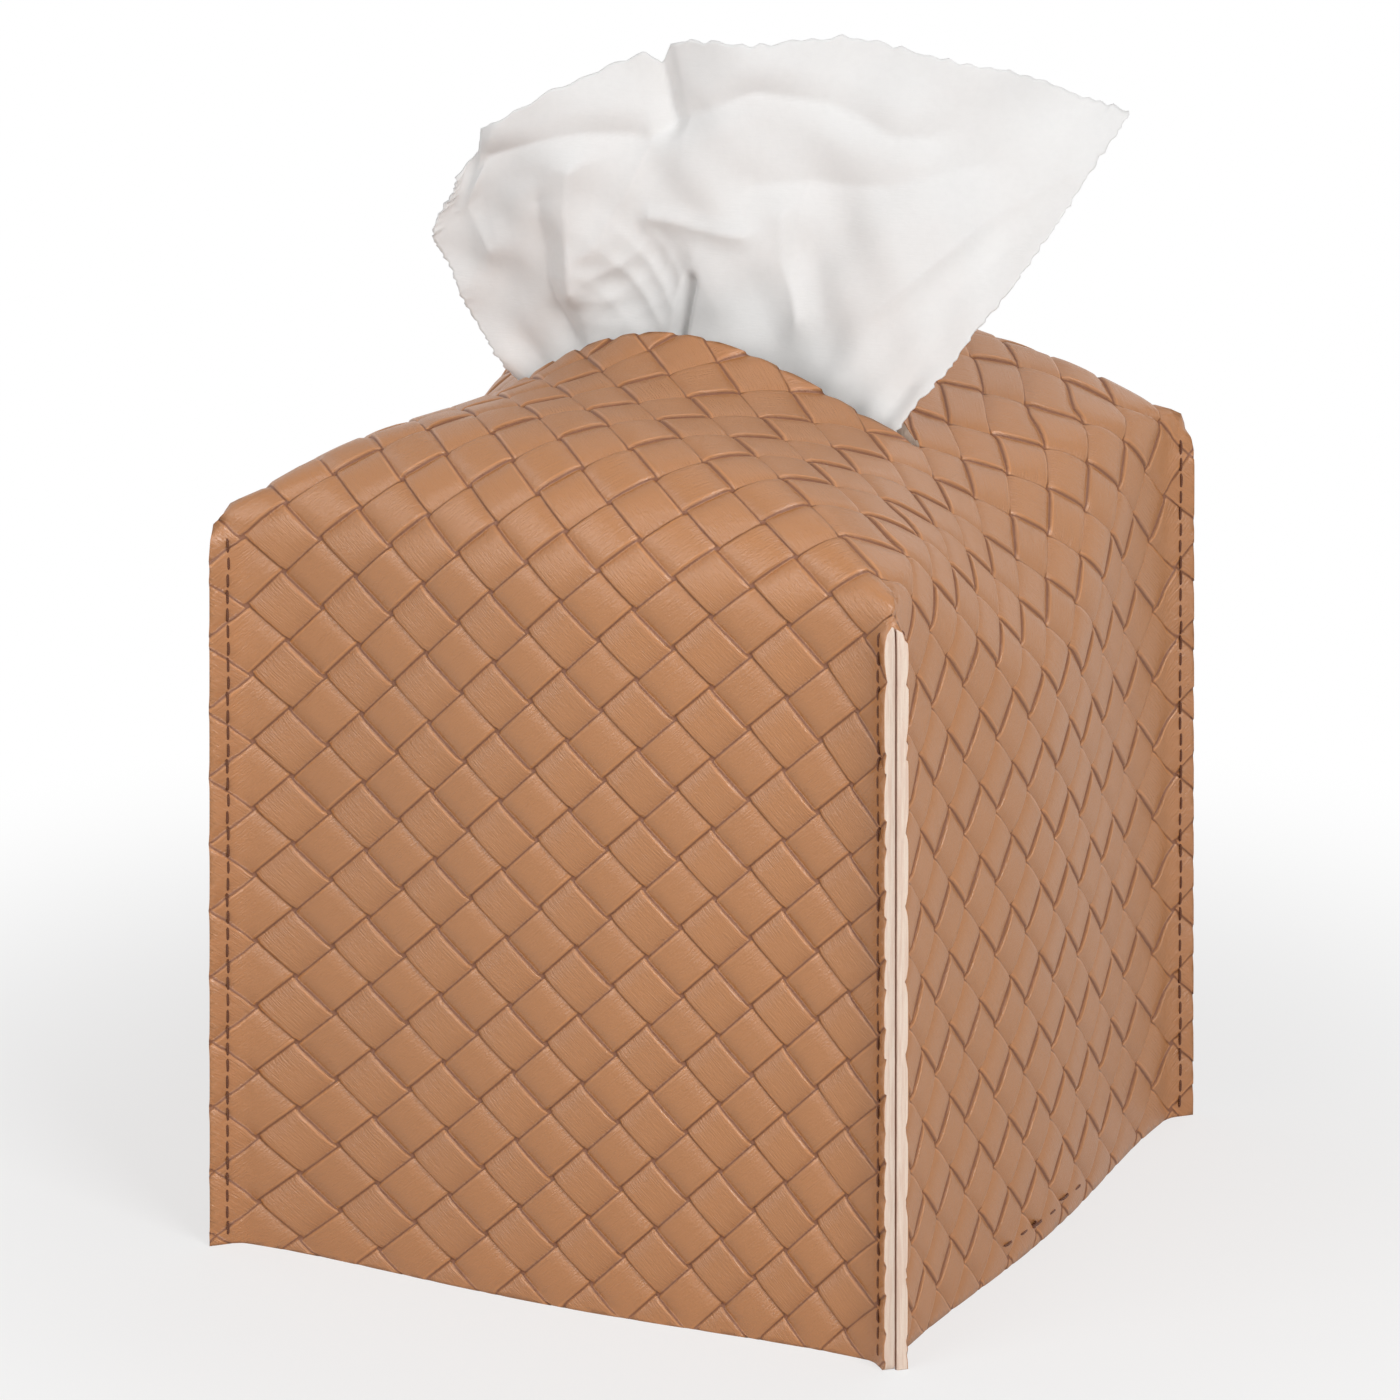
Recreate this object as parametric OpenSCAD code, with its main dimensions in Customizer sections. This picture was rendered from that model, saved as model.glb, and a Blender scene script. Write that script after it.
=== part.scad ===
/* [Cover] */
// Width of each side panel at the bottom edge, from corner to corner
panel_w = 126; // [110:1:150]
// Height of the four corner seams
seam_h = 127.7; // [100:0.1:160]
// Thickness of the embossed leather with its backing
leather_t = 2.1; // [1.2:0.1:3]
// How far each panel leans in from the bottom edge to the seam's top
lean = 1.9; // [0:0.1:4]
// Outward bow of a panel's middle at the bottom edge
bow_low = 1.9; // [0.5:0.1:4]
// Outward bow of a panel's middle at the seam's top
bow_high = 3.8; // [0.5:0.1:6]
// How far the seam flange stands out from the panels' corner
flange_out = 2.8; // [2:0.1:5]
// Height over which the flange's top end rounds off
nose_h = 5.5; // [3:0.1:9]

/* [Top] */
// Height of the top sheet at its middle, without the lifted lips
dome_h = 150.3; // [125:0.1:190]
// How far the top falls from its middle line to the side panels
side_drop = 24.6; // [10:0.1:35]
// Further fall of the top close to the side panels and corners
edge_drop = 8.2; // [0:0.1:14]
// Distance from the slot at which the side fall has eased off
ease_w = 48; // [30:1:60]
// How far the slot's two lips are lifted at their middle
lip_lift = 7; // [0:0.1:12]
// Distance over which the lift of a lip fades
lip_fade = 8.5; // [4:0.1:16]
// Length of the dispensing slot
slot_l = 79; // [60:1:90]
// Width to which the slot's lips are spread at the middle
slot_w = 24; // [14:1:32]
// Shoulder depth above the front and back panels
front_round = 24; // [12:0.5:32]
// Shoulder fall above the front and back panels
front_fall = 24.5; // [12:0.5:32]
// Shoulder depth above the side panels
side_round = 20; // [10:0.5:28]
// Shoulder fall above the side panels
side_fall = 13.5; // [8:0.5:24]
// Shoulder depth and fall at the four corners
corner_round = 2.8; // [2.4:0.1:6]

/* [Lining] */
// Thickness of the lining cloth
lining_t = 0.6; // [0.4:0.1:1.5]
// Space between the leather and the lining
lining_gap = 0.6; // [0.4:0.05:1]
// Height of the lining's lower edge above the panels' lower edge
lining_rise = 1; // [0.5:0.1:6]

/* [Stitches] */
// Distance from one stitch to the next
stitch_pitch = 3; // [2:0.1:5]
// Length of thread that shows in one stitch
stitch_l = 2.3; // [1:0.1:4]
// Diameter of the sewing thread
thread_d = 0.7; // [0.4:0.05:1]
// Distance of the seam stitches from the flange's cut edge
stitch_in = 3.6; // [2:0.1:4.5]
// Space between a stitch and the piece it lies on
thread_gap = 0.05; // [0.02:0.01:0.2]

/* [Bottom belts] */
// Width of the two bottom belts
belt_w = 40; // [20:1:60]
// How far each belt reaches past the cover's middle
belt_past = 15; // [8:0.5:24]
// Thickness of the belts
belt_t = 1.4; // [0.8:0.1:2]
// Height of the lower belt's underside above the panels' lower edge
belt_rise = 1; // [0.8:0.1:3]
// Height of the part of each belt that is sewn to the panel
tab_h = 12; // [8:0.5:25]
// Height of the row of stitches above each belt's fold
row_rise = 4.8; // [3:0.1:8]
// Length of each hook or loop patch along the belt
patch_l = 24; // [14:1:28]
// Width of each hook or loop patch
patch_w = 30; // [12:1:50]
// Thickness of each hook or loop patch
patch_t = 1; // [0.6:0.1:2]
// Distance of a patch from its belt's free end
patch_in = 3; // [1:0.5:8]
// Space between pieces that move on each other
run_gap = 0.3; // [0.2:0.05:0.6]

/* [Tissue] */
// Spread of the tissue at its widest, from side to side
tissue_w = 106.6; // [90:0.1:115]
// Height of the tissue above the slot's ends
tissue_h = 64; // [30:1:90]
// Depth of the tissue's sweep from front to back
tissue_d = 44; // [10:1:56]
// Width of the tissue where it passes the slot
neck_w = 68; // [50:1:70]
// Length of tissue below the slot's ends
tail_h = 12; // [6:0.5:18]
// Thickness of the folded tissue
tissue_t = 0.8; // [0.5:0.1:1.5]
// Height of the tissue's main folds
fold_h = 3; // [0:0.1:5]

/* [Hidden] */

leather_color = [0.7, 0.49, 0.35];
lining_color = [0.9, 0.85, 0.76];
thread_color = [0.32, 0.19, 0.12];
belt_color = [0.62, 0.43, 0.3];
hook_color = [0.3, 0.25, 0.22];
loop_color = [0.36, 0.3, 0.27];
tissue_color = [0.97, 0.97, 0.96];

// Shares along half a panel, from its middle to the crease beside the flange
panel_shares = [0, 0.14, 0.28, 0.42, 0.56, 0.69, 0.81, 0.91, 1];
// Where those points and the flange's three points go along the slot's lip
lip_shares = [0, 0.134, 0.269, 0.403, 0.538, 0.662, 0.778, 0.874, 0.96, 0.97, 0.99, 1];
// Heights of the rings on the walls, as shares of the wall's height
wall_shares = [0, 0.33, 0.66, 0.88, 0.93, 0.965, 1];
// Places of the rings between the shoulder and the slot
top_shares = [0.12, 0.27, 0.43, 0.6, 0.78, 0.9, 1];
shoulder_steps = 5;
last_panel = len(panel_shares) - 1;
last_point = len(lip_shares) - 1;
wall_rings = len(wall_shares);
top_rings = len(top_shares);
all_rings = wall_rings + shoulder_steps + top_rings;
end_share = 0.91;
ease_share = 0.484;
turn_share = 0.65;
flange_half = leather_t;
corner_fall = corner_round;
lip_end_x = slot_l / 2;
lip_turn_x = lip_end_x * end_share;

// The top sheet's height over the plan, with the slot's ends pulled down and its lips lifted
function clamp(v, low, high) = max(low, min(high, v));
function lip_y(x) = slot_w / 2 * max(0, 1 - pow(x / lip_end_x, 2));
function lift_at(x, y) = lip_lift * pow(max(0, 1 - pow(x / lip_end_x, 2)), 2)
  * exp(-max(0, abs(y) - lip_y(x)) / lip_fade);
function smooth(t) = t * t * (3 - 2 * t);
function eased(y) = 1 - ease_share * smooth(min(1, abs(y) / ease_w));
function top_z(x, y) = dome_h - side_drop * pow(2 * x / panel_w, 2) * eased(y)
  - edge_drop * pow(2 * x / panel_w, 4) + lift_at(x, y);

// A panel in plan at height z: across runs along the panel, and out is the distance from the centre
// The bow turns into a slight dip beside the flanges
function bowed(t) = (1 - pow(t, 2)) * (1 - pow(t / turn_share, 2));
function half_at(z) = panel_w / 2 - lean * z / seam_h;
function bow_at(z) = bow_low + (bow_high - bow_low) * z / seam_h;
function crease_at(z, skin) = half_at(z) - skin - sqrt(2) * flange_half;
function nose_at(z) = sqrt(1 - pow(1 - clamp((seam_h - z) / nose_h, 0, 1), 2));
function flange_t_at(z) = flange_half * (0.2 + 0.8 * nose_at(z));
function flange_share(z) = clamp(1 - (z - seam_h) / (nose_h * 0.6), 0, 1);
function tip_at(z) = half_at(z) + flange_out / sqrt(2);

function panel_point(k, z, skin) =
  let (edge = crease_at(z, skin), across = edge * panel_shares[k])
  [across, half_at(z) - skin + bow_at(z) * bowed(panel_shares[k])];
function corner_point(k, z, skin) =
  let (turn = 15 * (k - last_panel), edge = crease_at(z, skin), r = half_at(z) - skin - edge)
  [edge + r * sin(turn), edge + r * cos(turn)];
function flange_point(k, z) =
  let (edge = crease_at(z, 0), side = flange_t_at(z) / sqrt(2), tip = tip_at(z),
    outer = [tip - side, tip + side])
  k == last_point ? [tip, tip]
  : k == last_point - 1 ? outer
  : ([edge, half_at(z)] + outer) / 2;
function wall_point(k, z, skin, flange) =
  k <= last_panel ? panel_point(k, z, skin)
  : let (f = flange ? flange_share(z) : 0)
    flange_point(k, z) * f + corner_point(k, z, skin) * (1 - f);

// Quarter turns from a panel's own plan into the part's plan: 0 front, 1 right, 2 back, 3 left
function turned(side, hand, p) =
  let (a = p[0] * hand, o = p[1])
  side == 0 ? [a, -o] : side == 1 ? [o, a] : side == 2 ? [-a, o] : [-o, -a];

function soft_share(k) = 1 - pow(lip_shares[k], 3);
function round_at(side, k, skin) =
  corner_round - skin + ((side % 2 == 0 ? front_round : side_round) - corner_round) * soft_share(k);
function fall_at(side, k, skin) =
  corner_fall - skin + ((side % 2 == 0 ? front_fall : side_fall) - corner_fall) * soft_share(k);

function wall_top(side, hand, k, skin, z, steps) =
  let (p = turned(side, hand, wall_point(k, z, skin, false)),
    next = top_z(p[0], p[1]) - skin - fall_at(side, k, skin))
  steps == 0 ? next : wall_top(side, hand, k, skin, next, steps - 1);

function lip_point(side, k) =
  let (s = lip_shares[k])
  side % 2 == 0 ? [lip_turn_x * s, lip_y(lip_turn_x * s)]
  : [lip_y(lip_turn_x) * s, lip_turn_x + (lip_end_x - lip_turn_x) * (1 - s * s)];

// One point of the sheet: ring v counts up from the bottom edge to the slot's lip
function sheet_point(side, hand, k, v, skin, low) =
  let (top = wall_top(side, hand, k, skin, seam_h, 5))
  v < wall_rings
    ? let (z = low + (top - low) * wall_shares[v],
        p = turned(side, hand, wall_point(k, z, skin, skin == 0)))
      [p[0], p[1], z]
    : let (w = wall_point(k, top, skin, false), l = lip_point(side, k),
        d = norm(l - w), dir = (l - w) / d, step = v - wall_rings + 1,
        turn = 90 * min(1, step / shoulder_steps),
        r = round_at(side, k, skin), f = fall_at(side, k, skin),
        reach = step <= shoulder_steps ? r * (1 - cos(turn))
          : r + (d - r) * top_shares[step - shoulder_steps - 1],
        p = turned(side, hand, w + dir * reach))
      [p[0], p[1], top_z(p[0], p[1]) - skin - f * (1 - sin(turn))];

ring_places = [for (side = [0:3], j = [-last_point:last_point - 1])
  [side, j < 0 ? -1 : 1, abs(j)]];
function sheet_points(skin, low, places, rings) =
  [for (v = rings, p = places) sheet_point(p[0], p[1], p[2], v, skin, low)];

// Faces of a closed skin between an outer and an inner grid of rings
function next_u(u, nu) = (u + 1) % nu;
function left_half(u, nu) = u % (nu / 4) < nu / 8;
function skin_faces(nu, nv) =
  let (n = nu * nv, e = nv - 1)
  concat(
    [for (v = [0:nv - 2], u = [0:nu - 1]) [v * nu + u, (v + 1) * nu + next_u(u, nu), v * nu + next_u(u, nu)]],
    [for (v = [0:nv - 2], u = [0:nu - 1]) [v * nu + u, (v + 1) * nu + u, (v + 1) * nu + next_u(u, nu)]],
    [for (v = [0:nv - 2], u = [0:nu - 1])
      [n + v * nu + u, n + v * nu + next_u(u, nu), n + (v + 1) * nu + next_u(u, nu)]],
    [for (v = [0:nv - 2], u = [0:nu - 1])
      [n + v * nu + u, n + (v + 1) * nu + next_u(u, nu), n + (v + 1) * nu + u]],
    [for (u = [0:nu - 1]) [u, next_u(u, nu), left_half(u, nu) ? n + u : n + next_u(u, nu)]],
    [for (u = [0:nu - 1]) [left_half(u, nu) ? next_u(u, nu) : u, n + next_u(u, nu), n + u]],
    [for (u = [0:nu - 1]) [n + e * nu + u, n + e * nu + next_u(u, nu), e * nu + next_u(u, nu)]],
    [for (u = [0:nu - 1]) [n + e * nu + u, e * nu + next_u(u, nu), e * nu + u]]);

module skin_solid(outer, inner, low, places, rings) {
  polyhedron(
    points = concat(sheet_points(outer, low, places, rings), sheet_points(inner, low, places, rings)),
    faces = skin_faces(len(places), len(rings)),
    convexity = 6);
}

every_ring = [for (v = [0:all_rings - 1]) v];
lining_skin = leather_t + lining_gap;
lining_rings = concat([0, 3], [for (v = [wall_rings - 1:all_rings - 1]) v]);

module leather_cover() {
  color(leather_color)
    skin_solid(0, leather_t, 0, ring_places, every_ring);
}

module lining() {
  color(lining_color)
    skin_solid(lining_skin, lining_skin + lining_t, lining_rise, ring_places, lining_rings);
}

// The corner seams' thread: a row of stitches on both sides of each flange
thread_r = thread_d / 2;
seam_stitches = floor((seam_h - nose_h - stitch_pitch) / stitch_pitch);
function seam_spot(z) =
  let (edge = [crease_at(z, 0), half_at(z)], outer = flange_point(last_point - 1, z),
    d = (edge - outer) / norm(edge - outer))
  outer + d * stitch_in + [-1, 1] * (thread_r + thread_gap) / sqrt(2);

module seam_side() {
  for (i = [1:seam_stitches]) {
    z = i * stitch_pitch;
    p = seam_spot(z);
    translate([p[0], -p[1], z - stitch_l / 2])
      cylinder(h = stitch_l, r = thread_r, $fn = 16);
  }
}

module seam_thread() {
  seam_side();
  mirror([1, 1, 0])
    seam_side();
}

module front_right_seam() {
  color(thread_color)
    seam_thread();
}

module back_right_seam() {
  color(thread_color)
    rotate([0, 0, 90])
      seam_thread();
}

module back_left_seam() {
  color(thread_color)
    rotate([0, 0, 180])
      seam_thread();
}

module front_left_seam() {
  color(thread_color)
    rotate([0, 0, 270])
      seam_thread();
}

// The bottom belts: each is sewn inside a side panel, folds at the bottom edge and closes underneath
lining_face = panel_w / 2 - lining_skin - lining_t
  + bow_low * bowed(belt_w / 2 / crease_at(0, lining_skin + lining_t));
fold_r = belt_t / 2;
tab_face = lining_face - run_gap - lean * (tab_h + belt_rise) / seam_h;
fold_x = tab_face - fold_r;
belt_l = fold_x + belt_past;
low_fold_z = belt_rise + fold_r;
high_fold_z = low_fold_z + belt_t + 2 * patch_t + run_gap;
row_l = belt_w - 2 * stitch_pitch;
row_stitches = floor(row_l / stitch_pitch) + 1;

module belt_strip(fold_z) {
  translate([fold_x - belt_l, -belt_w / 2, fold_z - fold_r])
    cube([belt_l, belt_w, belt_t]);
  translate([fold_x, -belt_w / 2, fold_z])
    rotate([-90, 0, 0])
      cylinder(h = belt_w, r = fold_r, $fn = 32);
}

module belt_tab(fold_z) {
  low = fold_z + fold_r + run_gap;
  translate([fold_x - fold_r, -belt_w / 2, low])
    cube([belt_t, belt_w, tab_h]);
}

module stitch_y(length) {
  translate([0, -length / 2, 0])
    rotate([-90, 0, 0])
      cylinder(h = length, r = thread_r, $fn = 16);
}

// Where the panel's outside is at height z, a distance y from its middle
function panel_face(y, z) = half_at(z) + bow_at(z) * bowed(y / crease_at(z, 0));

module belt_row(fold_z) {
  z = fold_z + row_rise;
  for (i = [0:row_stitches - 1]) {
    y = (i - (row_stitches - 1) / 2) * stitch_pitch;
    far = abs(y) - stitch_l / 2;
    translate([panel_face(max(0, far), z) + thread_r + thread_gap, y, z])
      stitch_y(stitch_l);
    translate([fold_x - fold_r - thread_r - thread_gap, y, z])
      stitch_y(stitch_l);
  }
}

patch_far = fold_x - belt_l + patch_in;

module patch(low_z) {
  translate([patch_far, -patch_w / 2, low_z])
    cube([patch_l, patch_w, patch_t]);
}

module patch_row(face_z) {
  edge_x = patch_l / 2 - stitch_pitch / 2;
  edge_y = patch_w / 2 - stitch_pitch / 2;
  across = floor((patch_w - 2 * stitch_pitch) / stitch_pitch);
  along = floor((patch_l - 2 * stitch_pitch) / stitch_pitch);
  translate([patch_far + patch_l / 2, 0, face_z]) {
    for (side = [-1, 1], i = [0:across])
      translate([side * edge_x, (i - across / 2) * stitch_pitch, 0])
        stitch_y(stitch_l);
    for (side = [-1, 1], i = [0:along])
      translate([(i - along / 2) * stitch_pitch, side * edge_y, 0])
        rotate([0, 0, 90])
          stitch_y(stitch_l);
  }
}

module right_belt_tab() {
  color(belt_color)
    belt_tab(low_fold_z);
}

module left_belt_tab() {
  color(belt_color)
    mirror([1, 0, 0])
      belt_tab(high_fold_z);
}

module right_belt() {
  color(belt_color)
    belt_strip(low_fold_z);
}

module left_belt() {
  color(belt_color)
    mirror([1, 0, 0])
      belt_strip(high_fold_z);
}

module right_belt_stitches() {
  color(thread_color)
    belt_row(low_fold_z);
}

module left_belt_stitches() {
  color(thread_color)
    mirror([1, 0, 0])
      belt_row(high_fold_z);
}

module hook_patch() {
  color(hook_color)
    patch(low_fold_z + fold_r);
}

module loop_patch() {
  color(loop_color)
    mirror([1, 0, 0])
      patch(high_fold_z - fold_r - patch_t);
}

module hook_patch_stitches() {
  color(thread_color)
    patch_row(low_fold_z - fold_r - thread_r - thread_gap);
}

module loop_patch_stitches() {
  color(thread_color)
    mirror([1, 0, 0])
      patch_row(high_fold_z + fold_r + thread_r + thread_gap);
}

// The tissue: a sheet gathered in the slot that fans out above it
tissue_x_shares = [-0.826, -0.713, -0.488, -0.263, -0.075, 0.131, 0.375, 0.6, 0.826, 1.013, 1.174];
tissue_y_shares = [-0.18, -0.18, -0.14, -0.07, 0, 0.09, 0.2, 0.34, 0.5, 0.66, 0.82];
tissue_z_shares = [0.56, 0.69, 0.835, 0.92, 0.975, 0.987, 1, 0.96, 0.918, 0.85, 0.776];
table_steps = len(tissue_x_shares) - 1;
across_steps = 40;
rise_steps = 11;
tail_steps = 3;
slot_end_z = top_z(lip_end_x, 0);
bulge_share = 0.15;
neck_wave_share = 0.02;
folds_across = 3.5;
fold_lean = 50;
sweep_power = 1.15;

function blend(table, s) =
  let (f = clamp(s, 0, 1) * table_steps, i = min(floor(f), table_steps - 1))
  table[i] + (table[i + 1] - table[i]) * (f - i);
function neck_spot(s) = [neck_w / 2 * (2 * s - 1),
  slot_w * neck_wave_share * sin(360 * folds_across * s) * 4 * s * (1 - s), slot_end_z];
function crown_spot(s) = [tissue_w / 2 * blend(tissue_x_shares, s),
  tissue_d * blend(tissue_y_shares, s), slot_end_z + tissue_h * blend(tissue_z_shares, s)];
function fold_at(s, e) = fold_h * e * (1 - 0.35 * e) * sin(360 * folds_across * s + fold_lean * e);
function tissue_spot(s, r) =
  r < tail_steps
    ? neck_spot(s) - [0, 0, tail_h * (1 - r / tail_steps)]
    : let (e = (r - tail_steps) / rise_steps, side = 2 * s - 1, a = neck_spot(s), b = crown_spot(s),
        bulge = tissue_w * bulge_share / 2 * side * abs(side) * sin(180 * e))
      [a[0] * (1 - e) + b[0] * e + bulge, a[1] * (1 - e) + b[1] * pow(e, sweep_power) + fold_at(s, e),
        a[2] * (1 - e) + b[2] * e];
rise_rows = rise_steps + tail_steps;
function tissue_side(hand) = [for (r = [0:rise_rows], i = [0:across_steps])
  tissue_spot(i / across_steps, r) + [0, hand * tissue_t / 2, 0]];
function sheet_faces(nu, nv) =
  let (n = nu * nv, e = nv - 1, w = nu - 1)
  concat(
    [for (v = [0:nv - 2], u = [0:nu - 2]) [v * nu + u, (v + 1) * nu + u + 1, v * nu + u + 1]],
    [for (v = [0:nv - 2], u = [0:nu - 2]) [v * nu + u, (v + 1) * nu + u, (v + 1) * nu + u + 1]],
    [for (v = [0:nv - 2], u = [0:nu - 2]) [n + v * nu + u, n + v * nu + u + 1, n + (v + 1) * nu + u + 1]],
    [for (v = [0:nv - 2], u = [0:nu - 2]) [n + v * nu + u, n + (v + 1) * nu + u + 1, n + (v + 1) * nu + u]],
    [for (u = [0:nu - 2]) [u, u + 1, n + u + 1]],
    [for (u = [0:nu - 2]) [u, n + u + 1, n + u]],
    [for (u = [0:nu - 2]) [e * nu + u, n + e * nu + u + 1, e * nu + u + 1]],
    [for (u = [0:nu - 2]) [e * nu + u, n + e * nu + u, n + e * nu + u + 1]],
    [for (v = [0:nv - 2]) [v * nu, n + v * nu, n + (v + 1) * nu]],
    [for (v = [0:nv - 2]) [v * nu, n + (v + 1) * nu, (v + 1) * nu]],
    [for (v = [0:nv - 2]) [v * nu + w, n + (v + 1) * nu + w, n + v * nu + w]],
    [for (v = [0:nv - 2]) [v * nu + w, (v + 1) * nu + w, n + (v + 1) * nu + w]]);

module tissue() {
  color(tissue_color)
    polyhedron(
      points = concat(tissue_side(-1), tissue_side(1)),
      faces = sheet_faces(across_steps + 1, rise_rows + 1),
      convexity = 8);
}

leather_cover();
lining();
front_left_seam();
front_right_seam();
back_right_seam();
back_left_seam();
right_belt_tab();
right_belt();
left_belt_tab();
left_belt();
right_belt_stitches();
left_belt_stitches();
hook_patch();
loop_patch();
hook_patch_stitches();
loop_patch_stitches();
tissue();
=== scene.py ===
"""Looks of the tissue box cover: embossed leather, seams, belts, lining and tissue.

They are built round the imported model, in metres and in its frame. Front is -Y, right is +X and Z is up.
"""

import math

import bmesh
import bpy
import numpy as np
from bpy.props import FloatProperty, FloatVectorProperty, PointerProperty
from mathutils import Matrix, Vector
from mathutils.bvhtree import BVHTree


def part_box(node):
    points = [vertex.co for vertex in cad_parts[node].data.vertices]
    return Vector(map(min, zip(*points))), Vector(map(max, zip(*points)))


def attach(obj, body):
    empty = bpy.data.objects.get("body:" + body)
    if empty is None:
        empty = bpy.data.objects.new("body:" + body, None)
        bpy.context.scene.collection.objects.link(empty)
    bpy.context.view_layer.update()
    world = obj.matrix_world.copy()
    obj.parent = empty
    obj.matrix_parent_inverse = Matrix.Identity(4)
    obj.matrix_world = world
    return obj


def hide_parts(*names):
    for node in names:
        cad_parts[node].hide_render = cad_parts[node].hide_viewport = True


bl_info = {
    "name": "Tissue Box Cover",
    "version": (1, 0, 0),
    "blender": (4, 5, 0),
    "location": "View3D > Sidebar > Cover",
    "description": "Builds a woven-look leather tissue box cover piece by piece",
    "category": "Add Mesh",
}

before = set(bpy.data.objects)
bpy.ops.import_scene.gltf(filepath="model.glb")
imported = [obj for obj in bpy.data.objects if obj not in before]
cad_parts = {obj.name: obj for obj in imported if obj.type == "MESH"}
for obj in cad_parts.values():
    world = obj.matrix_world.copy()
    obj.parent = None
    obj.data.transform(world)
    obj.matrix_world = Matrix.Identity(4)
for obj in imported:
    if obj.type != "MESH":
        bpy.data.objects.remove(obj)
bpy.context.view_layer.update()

FRONT, RIGHT, BACK, LEFT = SIDES = range(4)
ACROSS, DEEP, UP = np.eye(3)
ROOT_2 = math.sqrt(2)


# Settings


def length(name, text, default):
    """A size in metres."""
    return FloatProperty(name=name, description=text, default=default, unit="LENGTH", precision=5)


def share(name, text, default):
    """A plain factor."""
    return FloatProperty(name=name, description=text, default=default, subtype="FACTOR")


def angle(name, text, degrees):
    """An angle, written in degrees."""
    return FloatProperty(name=name, description=text, default=math.radians(degrees), unit="ROTATION")


def strength(name, text, default):
    """A lamp's power in watts, or another plain number."""
    return FloatProperty(name=name, description=text, default=default)


def linear(red, green, blue):
    """A colour written as it looks on screen, 0 to 255, as the linear values that the shaders take."""
    def one(v):
        v = v / 255
        return v / 12.92 if v <= 0.04045 else ((v + 0.055) / 1.055) ** 2.4
    return one(red), one(green), one(blue)


def colour(name, text, red, green, blue):
    """A colour with its default written as it looks on screen."""
    return FloatVectorProperty(
        name=name, description=text, default=linear(red, green, blue), subtype="COLOR", size=3, min=0, max=1)


class CoverSizes(bpy.types.PropertyGroup):
    """The leather cover's shape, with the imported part's driving sizes apart from those of the seams' ends."""
    panel_w: length("Panel width", "Width of each side panel at the bottom edge", 0.126)
    seam_h: length("Seam height", "Height of the four corner seams", 0.1290)
    leather_t: length("Leather thickness", "Thickness of the leather with its backing", 0.0021)
    lean: length("Lean", "How far each panel leans in up to the seam's top", 0.0019)
    bow_low: length("Low bow", "Outward bow of a panel's middle at the bottom edge", 0.0019)
    bow_high: length("High bow", "Outward bow of a panel's middle at the seam's top", 0.0038)
    turn_share: share("Bow turn", "Where a panel's bow turns into a dip beside the flange", 0.65)
    flange_out: length("Flange reach", "How far the seam flange stands out from the corner", 0.0028)
    nose_h: length("Flange nose", "Height over which the flange's top end rounds off", 0.0045)
    nose_reach: share("Nose reach", "Share of the flange's reach that is left at its top end", 0.6)
    trim: length("Trim", "How far the front left flange's cut slants from its front to its side face", 0.0016)
    ridge_l: length("Ridge", "Distance over which the flange's ridge fades into the shoulder", 0.009)
    dome_h: length("Dome height", "Height of the top at its middle, without the lifted lips", 0.1503)
    side_drop: length("Side drop", "How far the top falls from its middle line to the side panels", 0.0246)
    edge_drop: length("Edge drop", "Further fall of the top close to the side panels", 0.0082)
    ease_w: length("Ease width", "Distance from the slot at which the side fall has eased off", 0.048)
    ease_share: share("Ease", "Share of the side fall that eases off", 0.484)
    lip_lift: length("Lip lift", "How far the slot's lips are lifted at their middle", 0.007)
    lip_fade: length("Lip fade", "Distance over which the lift fades", 0.0085)
    slot_l: length("Slot length", "Length of the dispensing slot", 0.079)
    slot_w: length("Slot width", "Width to which the lips are spread", 0.024)
    end_share: share("Slot end", "Where the lips turn into the slot's round ends", 0.91)
    front_round: length("Front shoulder depth", "Shoulder depth above the front and back panels", 0.024)
    front_fall: length("Front shoulder fall", "Shoulder fall above the front and back panels", 0.0245)
    side_round: length("Side shoulder depth", "Shoulder depth above the side panels", 0.020)
    side_fall: length("Side shoulder fall", "Shoulder fall above the side panels", 0.0135)
    corner_round: length("Corner shoulder", "Shoulder depth and fall at the corners", 0.0015)
    lining_t: length("Lining thickness", "Thickness of the lining cloth", 0.0006)
    lining_gap: length("Lining gap", "Space between the leather and the lining", 0.0006)
    lining_rise: length("Lining rise", "Height of the lining's lower edge", 0.001)


class WeaveSizes(bpy.types.PropertyGroup):
    """The embossed basket weave, measured on the flat leather."""
    repeat_x: length("Repeat across", "Repeat of the weave from side to side on the front", 0.01295)
    repeat_y: length("Repeat up", "Repeat of the weave up the front", 0.01185)
    crown: length("Strip crown", "Height of a strip's middle over the sheet", 0.0002)
    dip: length("Strip dip", "How far a strip falls at its two tucked ends", 0.00052)
    bend_share: share("Bend", "Share of a strip's length over which each end bends down", 0.2)
    roll: length("Strip roll", "How far a strip's sides roll off", 0.0001)
    hole: length("Hole depth", "Depth of the small hole where four strips meet", 0.0002)
    narrow: share("Narrowing", "How much narrower a strip is than the weave's pitch, at each side", 0.042)
    tilt: length("Strip tilt", "Random tilt from strip to strip", 0.00005)


class StitchSizes(bpy.types.PropertyGroup):
    """The machine stitches."""
    pitch: length("Pitch", "Distance from one stitch to the next", 0.003)
    shown: length("Shown length", "Length of thread that shows in one stitch", 0.00265)
    thread_d: length("Thread diameter", "Diameter of the sewing thread", 0.00045)
    inset: length("Inset", "Distance of the seam stitches from the flange's cut edge", 0.0026)
    dip: length("Dip", "How deep a stitch's ends go into the leather", 0.0005)
    row_drop: length("Row drop", "How far the belt rows lie lower outside than inside", 0.0022)


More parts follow.
